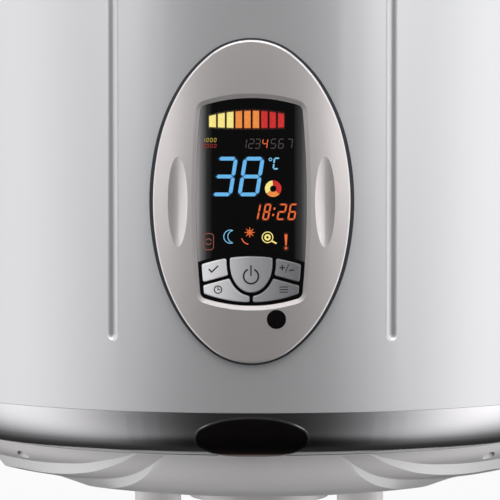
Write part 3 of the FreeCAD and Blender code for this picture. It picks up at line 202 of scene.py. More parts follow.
def key_lacquer_painted_light():
    """Silver lacquer with painted light: a painted highlight on the left keys that falls to painted shade on
    the right ones.
    """
    material = finish("key lacquer with painted light", (0.50, 0.49, 0.49), 0.30, metal=0.2, coat=0.2, vary=0.02, grain=3200.0,
                      relief=0.04)
    tree = material.node_tree
    # Painted light across the keys: bright on the left, dark on the right
    across = slope(tree, "X", -0.030, 0.030, 0.0, 1.0)
    painted_light_ramp = ramp(tree, across, 0.05, 0.95, ((0.98, 0.96, 0.97), (0.20, 0.20, 0.21)))
    middle = painted_light_ramp.node.color_ramp.elements.new(0.5)
    middle.color = (0.42, 0.42, 0.44, 1.0)
    tree.links.new(painted_light_ramp, shader_of(material).inputs["Base Color"])
    return material


def smoked_lens():
    """Nearly black lens with the lamp's faint red along its lower edge."""
    material = finish("smoked lens", (0.005, 0.004, 0.004), 0.09, vary=0.1, rough_vary=0.02, relief=0.004,
                      specular=0.2)
    shader = shader_of(material)
    shader.inputs["Emission Color"].default_value = (0.55, 0.03, 0.02, 1.0)
    low = slope(material.node_tree, "Z", -0.5655, -0.5705, 0.0, 0.05)
    material.node_tree.links.new(low, shader.inputs["Emission Strength"])
    return material


def linear(red, green, blue):
    """Display colour, 0 to 255, as scene-linear values."""
    return tuple(((v / 255.0 + 0.055) / 1.055) ** 2.4 if v > 10 else v / 3294.6 for v in (red, green, blue))


slot_finishes = {
    "casing_paint": finish("silver enamel", (0.62, 0.62, 0.63), 0.37, metal=0.62, coat=0.08, vary=0.012,
                           patch=3.0, grain=2600.0, relief=0.05, coat_rough=0.25),
    "ring_silver": finish("ring silver", (0.58, 0.57, 0.58), 0.15, metal=1.0, vary=0.015,
                          grain=2600.0, relief=0.02, rough_vary=0.03),
    "cap_plastic": finish("cap moulding", (0.67, 0.65, 0.65), 0.38, metal=0.12, vary=0.02, grain=2200.0,
                          relief=0.06),
    "bezel_champagne": finish("champagne lacquer", (0.69, 0.65, 0.64), 0.33, metal=0.65, coat=0.05, vary=0.015,
                              grain=3200.0, relief=0.06, coat_rough=0.2),
    "seal_rubber": finish("seal", (0.020, 0.024, 0.032), 0.6, grain=1500.0, relief=0.2, vary=0.15),
    "window_black": finish("black window", (0.004, 0.0035, 0.0035), 0.10, vary=0.1, rough_vary=0.02,
                           relief=0.004, specular=0.3),
    "key_silver": key_lacquer_painted_light(),
    "lens_black": smoked_lens(),
    "rim_silver": finish("bright rim", (0.50, 0.50, 0.52), 0.22, metal=1.0, rough_vary=0.03),
    "collar_plastic": finish("collar moulding", (0.86, 0.84, 0.83), 0.45, vary=0.03, relief=0.08),
    "service_plastic": finish("cover moulding", (0.36, 0.35, 0.35), 0.45, vary=0.03, relief=0.1),
    "zinc_steel": finish("zinc", (0.55, 0.55, 0.53), 0.35, metal=1.0, vary=0.08, patch=60.0, rough_vary=0.1),
    "bracket_steel": finish("bracket coat", (0.42, 0.42, 0.43), 0.5, vary=0.04, relief=0.25, grain=1200.0),
    "tank_enamel": finish("tank primer", (0.05, 0.09, 0.16), 0.45, vary=0.12, relief=0.2),
    "element_copper": finish("nickel tube", (0.62, 0.52, 0.46), 0.25, metal=1.0, vary=0.06),
    "stainless": finish("brushed stainless", (0.60, 0.59, 0.58), 0.28, metal=1.0, stretch=(1.0, 1.0, 0.04),
                        grain=1800.0, relief=0.12, rough_vary=0.1),
    "anode_magnesium": finish("cast magnesium", (0.55, 0.55, 0.55), 0.6, metal=0.9, relief=0.4, grain=500.0),
    "silicone": finish("silicone", (0.42, 0.08, 0.05), 0.5, vary=0.06),
    "foam_yellow": finish("foam", (0.72, 0.58, 0.30), 0.9, vary=0.12, patch=40.0, relief=0.8, grain=300.0),
    "board_green": finish("circuit board", (0.02, 0.14, 0.06), 0.35, vary=0.2, patch=120.0),
    "switch_black": finish("switch moulding", (0.02, 0.02, 0.02), 0.4, vary=0.2),
    "housing_black": finish("housing moulding", (0.025, 0.025, 0.03), 0.5, vary=0.15, relief=0.2),
    "phenolic": finish("phenolic", (0.05, 0.035, 0.03), 0.4, vary=0.2),
    "reset_red": finish("reset knob", (0.55, 0.02, 0.015), 0.3, coat=0.3, vary=0.05),
    "brass": finish("brass", (0.72, 0.50, 0.20), 0.3, metal=1.0, vary=0.06),
    "white_plastic": finish("white moulding", (0.75, 0.75, 0.72), 0.45, vary=0.03),
}


def window_glass_painted_reflection():
    """Black glass with a painted reflection of the bezel's silver along its curved sides, stronger on the left.
    """
    material = finish("window with painted edge reflection", (0.004, 0.0035, 0.0035), 0.10, vary=0.1, rough_vary=0.02, relief=0.004,
                      specular=0.3)
    tree = material.node_tree
    # Painted reflection: grey at the left edge, fainter at the right edge, black between
    across = slope(tree, "X", -0.0345, 0.0345, 0.0, 1.0)
    painted_light_ramp = ramp(tree, across, 0.0, 1.0, ((0.42, 0.39, 0.40), (0.16, 0.155, 0.16)))
    stops = painted_light_ramp.node.color_ramp.elements
    for place, level in ((0.05, 0.16), (0.10, 0.03), (0.15, 0.004), (0.88, 0.004), (0.95, 0.045)):
        stops.new(place).color = (level, level * 0.95, level * 0.97, 1.0)
    tree.links.new(painted_light_ramp, shader_of(material).inputs["Base Color"])
    return material


for part in frame["record"]["subparts"]:
    piece = nodes[part["node"]]
    for slot in piece.material_slots:
        slot.material = slot_finishes[part["material_slot"]]
# The display window takes the black glass with its painted edge reflection
for slot in nodes["display_window"].material_slots:
    slot.material = window_glass_painted_reflection()


# Bottom cap: three bowls in steps, drawn about the casing's axis in millimetres

cap_rim = 193.0
cap_rim_height = -28.7
cap_wall = 2.8
cap_spigot = 10.0
cap_columns = 320
boss_low = cap_rim_height - source_centre_depth - boss_proud
collar_opening = 16.3
gland_opening = 8.8
boss_opening = 47.0
opening_low = -95.0
opening_high = -40.0
middle_gap = 0.01
slot_turns = (-125.7, -54.3, 54.3, 125.7)
slot_circle = 188.6
slot_top = -31.0

# Bowls: knuckle radius, its turn, shoulder radius, its turn
side_bowl = (13.1, 57.9, 80.0, 78.0)
middle_bowl = (22.0, 75.0, 300.0, 83.0)
centre_bowl = (27.5, 78.0, 600.0, 83.0)
side_sag = 3.5
middle_sag = 5.0
sag_start = 60.0
sag_run = 30.0
sag_settling = 5.0

# Rows of the section: the bowls' and the shares along each step's wall
bowl_rows = 9
centre_rows = 24
wall_shares = (0.04, 0.5, 0.96, 1.0)
first_step = range(bowl_rows + 1, bowl_rows + 1 + len(wall_shares))
second_step = range(first_step.stop + bowl_rows, first_step.stop + bowl_rows + len(wall_shares))
# Material indices of the lighter copies of the cap moulding: painted highlight on the steps' walls and the
# centre bowl
step_painted_highlight = 1
centre_painted_highlight = 2
least_step = 0.02
crease_turn = 17.0

# Edges of the two steps on each side: degrees from the front, radius
upper_one_edge = ((23.3, 192.96), (26.5, 192.2), (29.4, 191.2), (32.5, 189.8), (37.9, 187.0), (46.7, 184.0),
                  (55.0, 182.6), (63.0, 182.2), (75.0, 182.8), (90.0, 183.5))
lower_one_edge = ((23.3, 192.90), (25.5, 192.0), (29.7, 189.6), (33.1, 187.2), (36.8, 184.9), (42.8, 181.6),
                  (50.0, 178.4), (58.0, 176.2), (70.0, 175.6), (90.0, 176.0))
upper_two_edge = ((17.5, 192.94), (20.8, 190.5), (23.9, 187.1), (26.9, 184.0), (30.8, 180.4), (35.6, 176.6),
                  (40.5, 172.6), (47.5, 166.2), (55.0, 158.5), (65.0, 149.5), (78.0, 141.5), (90.0, 139.0))
lower_two_edge = ((17.5, 192.9), (18.9, 192.1), (21.5, 187.8), (25.8, 180.8), (30.1, 173.7),
                  (40.6, 149.8), (52.0, 141.0), (62.0, 132.0), (75.0, 124.0), (90.0, 121.0))


def bowl_depth(radius, form):
    """Depth below the rim of a bowl with a knuckle, a shoulder and a dish that meet tangentially."""
    knuckle, knuckle_turn, shoulder, shoulder_turn = form
    low = math.radians(knuckle_turn)
    high = math.radians(shoulder_turn)
    knuckle_x = cap_rim - knuckle
    shoulder_x = knuckle_x - (shoulder - knuckle) * math.cos(low)
    shoulder_z = (shoulder - knuckle) * math.sin(low)
    if radius >= knuckle_x + knuckle * math.cos(low):
        return math.sqrt(max(0.0, knuckle ** 2 - (radius - knuckle_x) ** 2))
    if radius >= shoulder_x + shoulder * math.cos(high):
        return math.sqrt(shoulder ** 2 - (radius - shoulder_x) ** 2) - shoulder_z
    dish = shoulder + shoulder_x / math.cos(high)
    return math.sqrt(dish ** 2 - radius ** 2) - shoulder_z - shoulder_x * math.tan(high)


def ease(value, start, run):
    """Share from 0 to 1 that starts and ends gently."""
    share = min(1.0, max(0.0, (value - start) / run))
    return share * share * (3.0 - 2.0 * share)


def edge_radius(edge, turn):
    """Radius of a step's edge, drawn smoothly through its points; turn is 0 at the front, 90 at the sides."""
    if turn <= edge[0][0]:
        return cap_rim
    for index in range(len(edge) - 1):
        low, high = edge[index], edge[index + 1]
        if turn <= high[0]:
            before = edge[max(0, index - 1)]
            after = edge[min(len(edge) - 1, index + 2)]
            run = high[0] - low[0]
            share = (turn - low[0]) / run
            low_slope = (high[1] - before[1]) / (high[0] - before[0]) * run
            high_slope = (after[1] - low[1]) / (after[0] - low[0]) * run
            return ((2 * share ** 3 - 3 * share ** 2 + 1) * low[1]
                    + (share ** 3 - 2 * share ** 2 + share) * low_slope
                    + (3 * share ** 2 - 2 * share ** 3) * high[1]
                    + (share ** 3 - share ** 2) * high_slope)
    return edge[-1][1]


def step_profile(turn):
    """Section of the cap's outside, from the top of its spigot to the middle."""
    marks = []
    limit = cap_rim - least_step
    for edge in (upper_one_edge, lower_one_edge, upper_two_edge, lower_two_edge):
        limit = min(edge_radius(edge, turn), limit - least_step)
        marks.append(limit)
    upper_one, lower_one, upper_two, lower_two = marks
    side = ease(turn, sag_start, sag_run)
    spots = [(cap_rim, -cap_spigot), (cap_rim, 0.0)]

    def surface(start, end, form, sag, count, bunch):
        for index in range(1, count + 1):
            radius = start - (start - end) * (index / count) ** bunch
            settle = min(1.0, (cap_rim - radius) / sag_settling)
            spots.append((radius, bowl_depth(radius, form) + sag * side * settle))

    def step(end, form, sag):
        start, high = spots[-1]
        low = bowl_depth(end, form) + sag * side * min(1.0, (cap_rim - end) / sag_settling)
        for share in wall_shares:
            spots.append((start + (end - start) * share, high + (low - high) * share))

    surface(cap_rim, upper_one, side_bowl, side_sag, bowl_rows, 2.0)
    step(lower_one, middle_bowl, middle_sag)
    surface(lower_one, upper_two, middle_bowl, middle_sag, bowl_rows, 1.4)
    step(lower_two, centre_bowl, 0.0)
    surface(lower_two, 0.4, centre_bowl, 0.0, centre_rows, 1.5)
    return spots


def lathe(mesh, centre, section, sides):
    """Adds a ring turned from a closed section about an upright axis."""
    rings = []
    for index in range(sides):
        angle = 2 * math.pi * index / sides
        rings.append([mesh.verts.new(((centre[0] + r * math.sin(angle)) * MM,
                                      (centre[1] - r * math.cos(angle) - wall_to_axis) * MM,
                                      (z - seam_to_origin) * MM)) for r, z in section])
    for index, ring in enumerate(rings):
        after = rings[(index + 1) % sides]
        for low in range(len(section)):
            high = (low + 1) % len(section)
            mesh.faces.new((ring[low], ring[high], after[high], after[low]))


def oblong(mesh, circle, turn, half_width, half_length, low, high, sides=40):
    """Adds an upright oval prism that lies along a circle about the casing's axis."""
    out = (math.sin(math.radians(turn)), -math.cos(math.radians(turn)))
    rows = []
    for z in (low, high):
        row = []
        for index in range(sides):
            angle = 2 * math.pi * index / sides
            radius = circle + half_width * math.cos(angle)
            along = half_length * math.sin(angle)
            row.append(mesh.verts.new(((radius * out[0] - along * out[1]) * MM,
                                       (radius * out[1] + along * out[0] - wall_to_axis) * MM,
                                       (z - seam_to_origin) * MM)))
        rows.append(row)
    for index in range(sides):
        after = (index + 1) % sides
        mesh.faces.new((rows[0][index], rows[0][after], rows[1][after], rows[1][index]))
    mesh.faces.new(rows[0][::-1])
    mesh.faces.new(rows[1])


def mesh_object(name, mesh):
    data = bpy.data.meshes.new(name)
    mesh.normal_update()
    mesh.to_mesh(data)
    mesh.free()
    piece = bpy.data.objects.new(name, data)
    bpy.context.scene.collection.objects.link(piece)
    return piece


def baked(piece):
    """Applies the modifiers of a piece."""
    bpy.context.view_layer.update()
    graph = bpy.context.evaluated_depsgraph_get()
    done = bpy.data.meshes.new_from_object(piece.evaluated_get(graph))
    piece.modifiers.clear()
    piece.data = done


def cap_skin():
    """Outside of the cap, as columns of the section all round."""
    mesh = bmesh.new()
    columns = []
    for index in range(cap_columns):
        angle = 360.0 * index / cap_columns
        fold = min(angle % 180.0, 180.0 - angle % 180.0)
        turn = math.radians(angle)
        columns.append([mesh.verts.new((r * math.sin(turn) * MM, (-r * math.cos(turn) - wall_to_axis) * MM,
                                        (cap_rim_height - depth - seam_to_origin) * MM))
                        for r, depth in step_profile(fold)])
    for index, column in enumerate(columns):
        after = columns[(index + 1) % cap_columns]
        for low in range(len(column) - 1):
            face = mesh.faces.new((column[low], column[low + 1], after[low + 1], after[low]))
            # Step walls and the centre bowl take lighter copies of the moulding, painted highlight where side
            # light falls
            if low in first_step or low in second_step:
                face.material_index = step_painted_highlight
            elif low > second_step[-1]:
                face.material_index = centre_painted_highlight
    mesh.faces.new([column[-1] for column in columns[::-1]]).material_index = centre_painted_highlight
    bmesh.ops.recalc_face_normals(mesh, faces=mesh.faces)
    cap = mesh_object("bottom_cap_moulding", mesh)
    cap.data.materials.append(slot_finishes["cap_plastic"])
    # Lighter copies of the cap moulding: painted highlight for the steps' walls and the centre bowl
    cap.data.materials.append(finish("cap step painted highlight", (0.90, 0.89, 0.89), 0.32, vary=0.02, grain=2200.0,
                                     relief=0.04))
    cap.data.materials.append(finish("cap centre painted highlight", (0.80, 0.78, 0.78), 0.38, metal=0.12, vary=0.02, grain=2200.0,
                                     relief=0.06))
    return cap


def cap_cutters():
    """Prisms that open the cap for the collars, the gland, the service cover and the slots."""
    mesh = bmesh.new()
    for x, y, radius, low, high, sides in (
            (-pipe_half_spacing, 0.0, collar_opening, opening_low, opening_high, 64),
            (pipe_half_spacing, 0.0, collar_opening, opening_low, opening_high, 64),
            (0.0, gland_back, gland_opening, opening_low, opening_high, 48),
            (0.0, 0.0, boss_opening, boss_low - 5.0, -50.0, 96)):
        lathe(mesh, (x, y), [(middle_gap, low), (radius, low), (radius, high), (middle_gap, high)], sides)
    for turn in slot_turns:
        oblong(mesh, slot_circle, turn, 2.6, 6.6, -60.0, slot_top)
    bmesh.ops.remove_doubles(mesh, verts=mesh.verts, dist=0.03 * MM)
    bmesh.ops.recalc_face_normals(mesh, faces=mesh.faces)
    return mesh_object("cap_cutters", mesh)


def bottom_cap():
    """Stepped cap with its wall, openings, boss, ledge and gland seat, standing for the solid one."""
    cap = cap_skin()
    shell = cap.modifiers.new("wall", "SOLIDIFY")
    shell.thickness = cap_wall * MM
    shell.offset = -1.0
    baked(cap)
    cutters = cap_cutters()
    cut = cap.modifiers.new("openings", "BOOLEAN")
    cut.operation = "DIFFERENCE"
    cut.solver = "EXACT"
    cut.object = cutters
    baked(cap)
    bpy.data.objects.remove(cutters)
    boss = [(44.0, boss_low), (47.4, boss_low), (48.0, boss_low + 0.6), (48.0, boss_low + 9.3),
            (44.0, boss_low + 9.3)]
    ledge = [(35.5, boss_low + 3.0), (44.5, boss_low + 3.0), (44.5, boss_low + 5.5), (35.5, boss_low + 5.5)]
    gland_seat = [(gland_opening, -70.5), (13.6, -70.5), (13.6, -61.2), (gland_opening, -61.2)]
    mesh = bmesh.new()
    mesh.from_mesh(cap.data)
    lathe(mesh, (0.0, 0.0), boss, 128)
    lathe(mesh, (0.0, 0.0), ledge, 96)
    lathe(mesh, (0.0, gland_back), gland_seat, 64)
    bmesh.ops.recalc_face_normals(mesh, faces=mesh.faces)
    for face in mesh.faces:
        face.smooth = True
    for edge in mesh.edges:
        if len(edge.link_faces) == 2 and edge.calc_face_angle(0.0) > math.radians(crease_turn):
            edge.smooth = False
    mesh.to_mesh(cap.data)
    mesh.free()
    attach(cap, "heater")
    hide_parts("bottom_cap")


def ring_lip():
    """Thin rolled lip along the lower edge of the trim ring."""
    roll = 0.9
    middle = (cap_rim + 0.7, cap_rim_height - 0.1)
    section = []
    for turn in range(0, 360, 30):
        section.append((middle[0] + roll * math.cos(math.radians(turn)),
                        middle[1] + roll * math.sin(math.radians(turn))))
    mesh = bmesh.new()
    lathe(mesh, (0.0, 0.0), section, cap_columns)
    bmesh.ops.recalc_face_normals(mesh, faces=mesh.faces)
    for face in mesh.faces:
        face.smooth = True
    lip = mesh_object("trim_ring_lip", mesh)
    lip.data.materials.append(slot_finishes["rim_silver"])
    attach(lip, "heater")


def slot_painted_shade():
    """Dark prisms set back in the cap's four oblong slots: painted shade for the dark inside of the recesses.
    """
    mesh = bmesh.new()
    for turn in slot_turns:
        oblong(mesh, slot_circle, turn, 2.55, 6.5, -34.5, slot_top)
    bmesh.ops.recalc_face_normals(mesh, faces=mesh.faces)
    painted_shade_prisms = mesh_object("cap_slot_painted_shade", mesh)
    painted_shade_prisms.data.materials.append(slot_finishes["switch_black"])
    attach(painted_shade_prisms, "heater")


bottom_cap()
slot_painted_shade()
ring_lip()


# Graphics on the panel, drawn in millimetres from its centre

def crown_y(x, z, reach):
    """Y of the crowned surface that passes reach in front of the casing's axis, in millimetres."""
    around = crown_along - crown_across + math.sqrt(crown_across ** 2 - x * x)
    return crown_along - reach - math.sqrt(around ** 2 - z * z) - wall_to_axis


def plate(name, shapes, material, body, reach, lift=0.05, thick=0.04):
    """Thin printed or lit shapes that follow the crowned surface."""
    verts = []
    faces = []
    for shape in shapes:
        turned = sum(a[0] * b[1] - b[0] * a[1] for a, b in zip(shape, shape[1:] + shape[:1])) < 0
        outline = shape[::-1] if turned else shape
        first = len(verts)
        count = len(outline)
        for height in (lift, lift + thick):
            for x, z in outline:
                y = crown_y(x, z, reach + height)
                verts.append((x * MM, y * MM, (z + panel_centre[1]) * MM))
        faces.append([first + count + i for i in range(count)])
        for i in range(count):
            j = (i + 1) % count
            faces.append([first + i, first + j, first + count + j, first + count + i])
    mesh = bpy.data.meshes.new(name)
    mesh.from_pydata(verts, [], faces)
    mesh.materials.append(material)
    mesh.update()
    piece = bpy.data.objects.new(name, mesh)
    bpy.context.scene.collection.objects.link(piece)
    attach(piece, body)
    return piece


def bar(x0, z0, x1, z1, width):
    """Straight stroke between two spots."""
    run = math.hypot(x1 - x0, z1 - z0)
    nx = -(z1 - z0) / run * width / 2
    nz = (x1 - x0) / run * width / 2
    return [(x0 + nx, z0 + nz), (x0 - nx, z0 - nz), (x1 - nx, z1 - nz), (x1 + nx, z1 + nz)]


def disc(x, z, radius, sides=28):
    return [(x + radius * math.cos(2 * math.pi * i / sides), z + radius * math.sin(2 * math.pi * i / sides))
            for i in range(sides)]


def arc_strokes(x, z, radius, start, end, width, steps=20):
    """Curved stroke as short quads; angles in degrees, anticlockwise from the right."""
    found = []
    for i in range(steps):
        low = math.radians(start + (end - start) * i / steps)
        high = math.radians(start + (end - start) * (i + 1) / steps)
        near = radius - width / 2
        far = radius + width / 2
        found.append([(x + near * math.cos(low), z + near * math.sin(low)),
                      (x + far * math.cos(low), z + far * math.sin(low)),
                      (x + far * math.cos(high), z + far * math.sin(high)),
                      (x + near * math.cos(high), z + near * math.sin(high))])
    return found


segment_sets = {
    "C": "afed", "0": "abcdef", "1": "bc", "2": "abged", "3": "abgcd", "4": "fgbc", "5": "afgcd", "6": "afgedc",
    "7": "abc", "8": "abcdefg",
}


def seven(digit, left, low, width, height, stroke, slant, gap):
    """One seven-segment digit with mitred segments, leaning by slant millimetres over its height."""
    half = stroke / 2
    right = left + width
    top = low + height
    middle = low + height / 2

    def level(z):
        x0 = left + half + gap
        x1 = right - half - gap
        return [(x0, z), (x0 + half, z + half), (x1 - half, z + half), (x1, z), (x1 - half, z - half),
                (x0 + half, z - half)]

    def post(x, z0, z1):
        return [(x, z0 + gap), (x + half, z0 + gap + half), (x + half, z1 - gap - half), (x, z1 - gap),
                (x - half, z1 - gap - half), (x - half, z0 + gap + half)]

    shapes = {
        "a": level(top - half), "g": level(middle), "d": level(low + half),
        "f": post(left + half, middle, top - half), "b": post(right - half, middle, top - half),
        "e": post(left + half, low + half, middle), "c": post(right - half, low + half, middle),
    }
    if digit == "1":
        shapes["b"] = post(left + half, middle, top - half)
        shapes["c"] = post(left + half, low + half, middle)
    return [[(x + slant * (z - low) / height, z) for x, z in shapes[key]] for key in segment_sets[digit]]


yellow = glow("lit yellow", linear(255, 236, 140), 1.0)
orange = glow("lit orange", linear(240, 142, 66), 1.0)
red = glow("lit red", linear(205, 44, 40), 1.0)
blue = glow("lit blue", linear(104, 182, 236), 1.05)
pale_blue = glow("lit pale blue", linear(130, 200, 238), 1.0)
orange_red = glow("lit orange red", linear(236, 108, 50), 1.05)
dim_grey = glow("unlit grey", linear(84, 76, 73), 0.8)
dim_pink = glow("dim pink", linear(140, 82, 72), 0.9)
dim_yellow = glow("dim yellow", linear(190, 168, 76), 0.9)
dim_red = glow("dim red", linear(155, 46, 34), 0.9)
legend = finish("key print", (0.02, 0.02, 0.024), 0.6, vary=0.1, specular=0.15)

glass_front = crown_reach - glass_sink
glow_layers = ((0.35, 0.16), (0.75, 0.06), (1.25, 0.022))
print_spread = 0.13


def display(name, shapes, material):
    return plate(name, shapes, material, "heater", glass_front)


def grown(shape, margin):
    """A convex outline moved outwards."""
    x_mid = sum(x for x, z in shape) / len(shape)
    z_mid = sum(z for x, z in shape) / len(shape)
    found = []
    for x, z in shape:
        away = math.hypot(x - x_mid, z - z_mid)
        found.append((x + (x - x_mid) / away * margin, z + (z - z_mid) / away * margin))
    return found


def lit(name, shapes, material, colour):
    """Lit shapes with their soft glow in the glass, in three faint layers."""
    display(name, shapes, material)
    for index, (margin, strength) in enumerate(glow_layers):
        halo_name = name + "_glow_%d" % (index + 1)
        halo = glow(halo_name, colour, strength)
        spread_shapes = [grown(shape, margin) for shape in shapes]
        plate(halo_name, spread_shapes, halo, "heater", glass_front, 0.020 - 0.006 * index, 0.006)


# Heating level bars, whose ends follow shallow arcs
bar_colours = [yellow] * 3 + [orange] * 3 + [red] * 3
bar_glows = (linear(255, 236, 140), linear(240, 122, 56), linear(225, 34, 34))
for index, colour in enumerate(bar_colours):
    left = -26.1 + 5.55 * index - 0.027 * index ** 2
    right = left + 4.2 - 0.065 * index
    tops = [(x, 56.4 - 0.0048 * x * x) for x in (right, left)]
    lows = [(x, 45.8 + 0.0010 * x * x) for x in (left, right)]
    lit("level_bar_%d" % (index + 1), [lows + tops], colour, bar_glows[index // 3])


def row_of_digits(text, left, low, width, height, stroke, pitch, slant, gap):
    shapes = []
    for index, digit in enumerate(text):
        inset = width - stroke if digit == "1" else 0.0
        shapes += seven(digit, left + pitch * index + inset, low, width, height, stroke, slant, gap)
    return shapes


display("low_power_number", row_of_digits("1000", -30.4, 37.1, 1.7, 2.5, 0.42, 2.35, 0.3, 0.05), dim_yellow)
display("high_power_number", row_of_digits("2000", -30.4, 33.5, 1.7, 2.5, 0.42, 2.35, 0.3, 0.05), dim_red)
for digit, left in zip("1234567", (-3.7, -2.0, 1.9, 6.4, 11.6, 16.4, 21.7)):
    colour = orange_red if digit == "4" else dim_grey
    display("day_" + digit, seven(digit, left, 33.0, 3.4, 6.2, 0.55, 0.8, 0.1), colour)
for place, digit, left in (("tens", "3", -25.0), ("units", "8", -8.5)):
    lit("temperature_" + place, seven(digit, left, 3.6, 13.0, 24.4, 2.3, 3.9, 0.3), blue, linear(70, 150, 230))
display("degree_sign", arc_strokes(11.9, 26.4, 0.85, 0.0, 360.0, 0.5, 16)
        + seven("C", 13.1, 20.1, 4.0, 7.5, 0.95, 0.9, 0.1), pale_blue)
clock_digits = {"hours": (("1", 3.3, 1.1), ("8", 6.6, 4.1)), "minutes": (("2", 15.5, 4.9), ("6", 22.2, 4.7))}
for place, digits in clock_digits.items():
    shapes = []
    for digit, left, width in digits:
        shapes += seven(digit, left, -11.1, width, 10.1, 0.95, 2.0, 0.15)
    lit("clock_" + place, shapes, orange_red, linear(220, 80, 30))
display("clock_colon", [[(x, z), (x + 1.1, z), (x + 1.35, z + 1.3), (x + 0.25, z + 1.3)]
                        for x, z in ((12.9, -8.6), (13.7, -4.7))], orange_red)
display("ring_left", arc_strokes(13.6, 8.3, 3.55, 95.0, 215.0, 3.1, 14), yellow)
display("ring_low", arc_strokes(13.6, 8.3, 3.55, 218.0, 319.0, 3.1, 12), orange)
display("ring_right", arc_strokes(13.6, 8.3, 3.55, -38.0, 92.0, 3.1, 14), red)


def rounded_frame(x_low, x_high, z_low, z_high, corner, width):
    """Outline of a rounded rectangle, in strokes."""
    found = []
    corners = ((x_high, z_high, 0.0), (x_low, z_high, 90.0), (x_low, z_low, 180.0), (x_high, z_low, 270.0))
    for x, z, start in corners:
        centre_x = x - corner if x == x_high else x + corner
        centre_z = z - corner if z == z_high else z + corner
        found += arc_strokes(centre_x, centre_z, corner, start, start + 90.0, width, 5)
    found += [bar(x, z_low + corner, x, z_high - corner, width) for x in (x_low, x_high)]
    found += [bar(x_low + corner, z, x_high - corner, z, width) for z in (z_low, z_high)]
    return found


display("heating_icon", rounded_frame(-29.6, -23.4, -29.6, -19.6, 1.8, 0.55)
        + arc_strokes(-26.5, -24.6, 1.8, 20.0, 160.0, 0.6, 8)
        + arc_strokes(-26.5, -24.6, 1.8, 200.0, 340.0, 0.6, 8), dim_pink)
display("night_icon", arc_strokes(-12.9, -21.4, 4.1, 68.0, 292.0, 0.5, 22)
        + arc_strokes(-10.6, -21.4, 3.9, 102.0, 258.0, 0.5, 16), pale_blue)
rays = []
for turn in (0, 45, 90, 135):
    x = 3.1 * math.cos(math.radians(turn))
    z = 3.1 * math.sin(math.radians(turn))
    rays.append(bar(-0.9 - x, -18.8 - z, -0.9 + x, -18.8 + z, 0.45))
display("season_icon", rays + arc_strokes(-0.9, -18.8, 1.5, 0.0, 360.0, 0.4, 12)
        + arc_strokes(-1.1, -21.2, 4.9, 195.0, 262.0, 0.6, 8), orange_red)
display("timer_icon", arc_strokes(10.1, -21.8, 3.3, 0.0, 360.0, 0.6, 24)
        + arc_strokes(10.1, -21.8, 1.4, 0.0, 360.0, 1.2, 16) + [bar(12.4, -23.9, 15.6, -25.6, 1.0)], yellow)
lit("alert_icon", [[(20.9, -20.0), (20.6, -20.4), (21.1, -26.9), (21.9, -26.9), (22.4, -20.4), (22.1, -20.0)],
                   disc(21.5, -28.5, 0.75, 12)], orange_red, linear(220, 70, 30))


def print_on(name, key, shapes):
    """Printed mark that moves with its key."""
    spread_shapes = [grown(shape, print_spread) for shape in shapes]
    return plate(name, spread_shapes, legend, key, crown_reach, 0.02, 0.03)


print_on("power_mark", "power_key", arc_strokes(-0.1, -45.9, 4.6, 116.0, 424.0, 0.85, 30)
         + [bar(-0.1, -39.2, -0.1, -45.5, 0.85)])
print_on("confirm_mark", "confirm_key", [bar(-26.2, -41.6, -24.4, -43.6, 0.8),
                                         bar(-24.6, -43.5, -20.6, -39.6, 0.8)])
print_on("set_mark", "set_key", arc_strokes(-20.6, -54.3, 2.3, 0.0, 360.0, 0.5, 24)
         + [bar(-20.6, -54.3, -20.6, -52.7, 0.5), bar(-20.6, -54.3, -19.3, -54.3, 0.5)])
print_on("mode_mark", "mode_key", [bar(17.6, z, 22.6, z, 0.55) for z in (-52.6, -54.2, -55.8)])
print_on("plus_minus_mark", "plus_minus_key",
         [bar(17.6, -40.6, 20.8, -40.6, 0.7), bar(19.2, -39.0, 19.2, -42.2, 0.7),
          bar(23.6, -42.4, 26.6, -42.0, 0.7), bar(21.2, -43.6, 23.2, -38.6, 0.45)])


# Studio

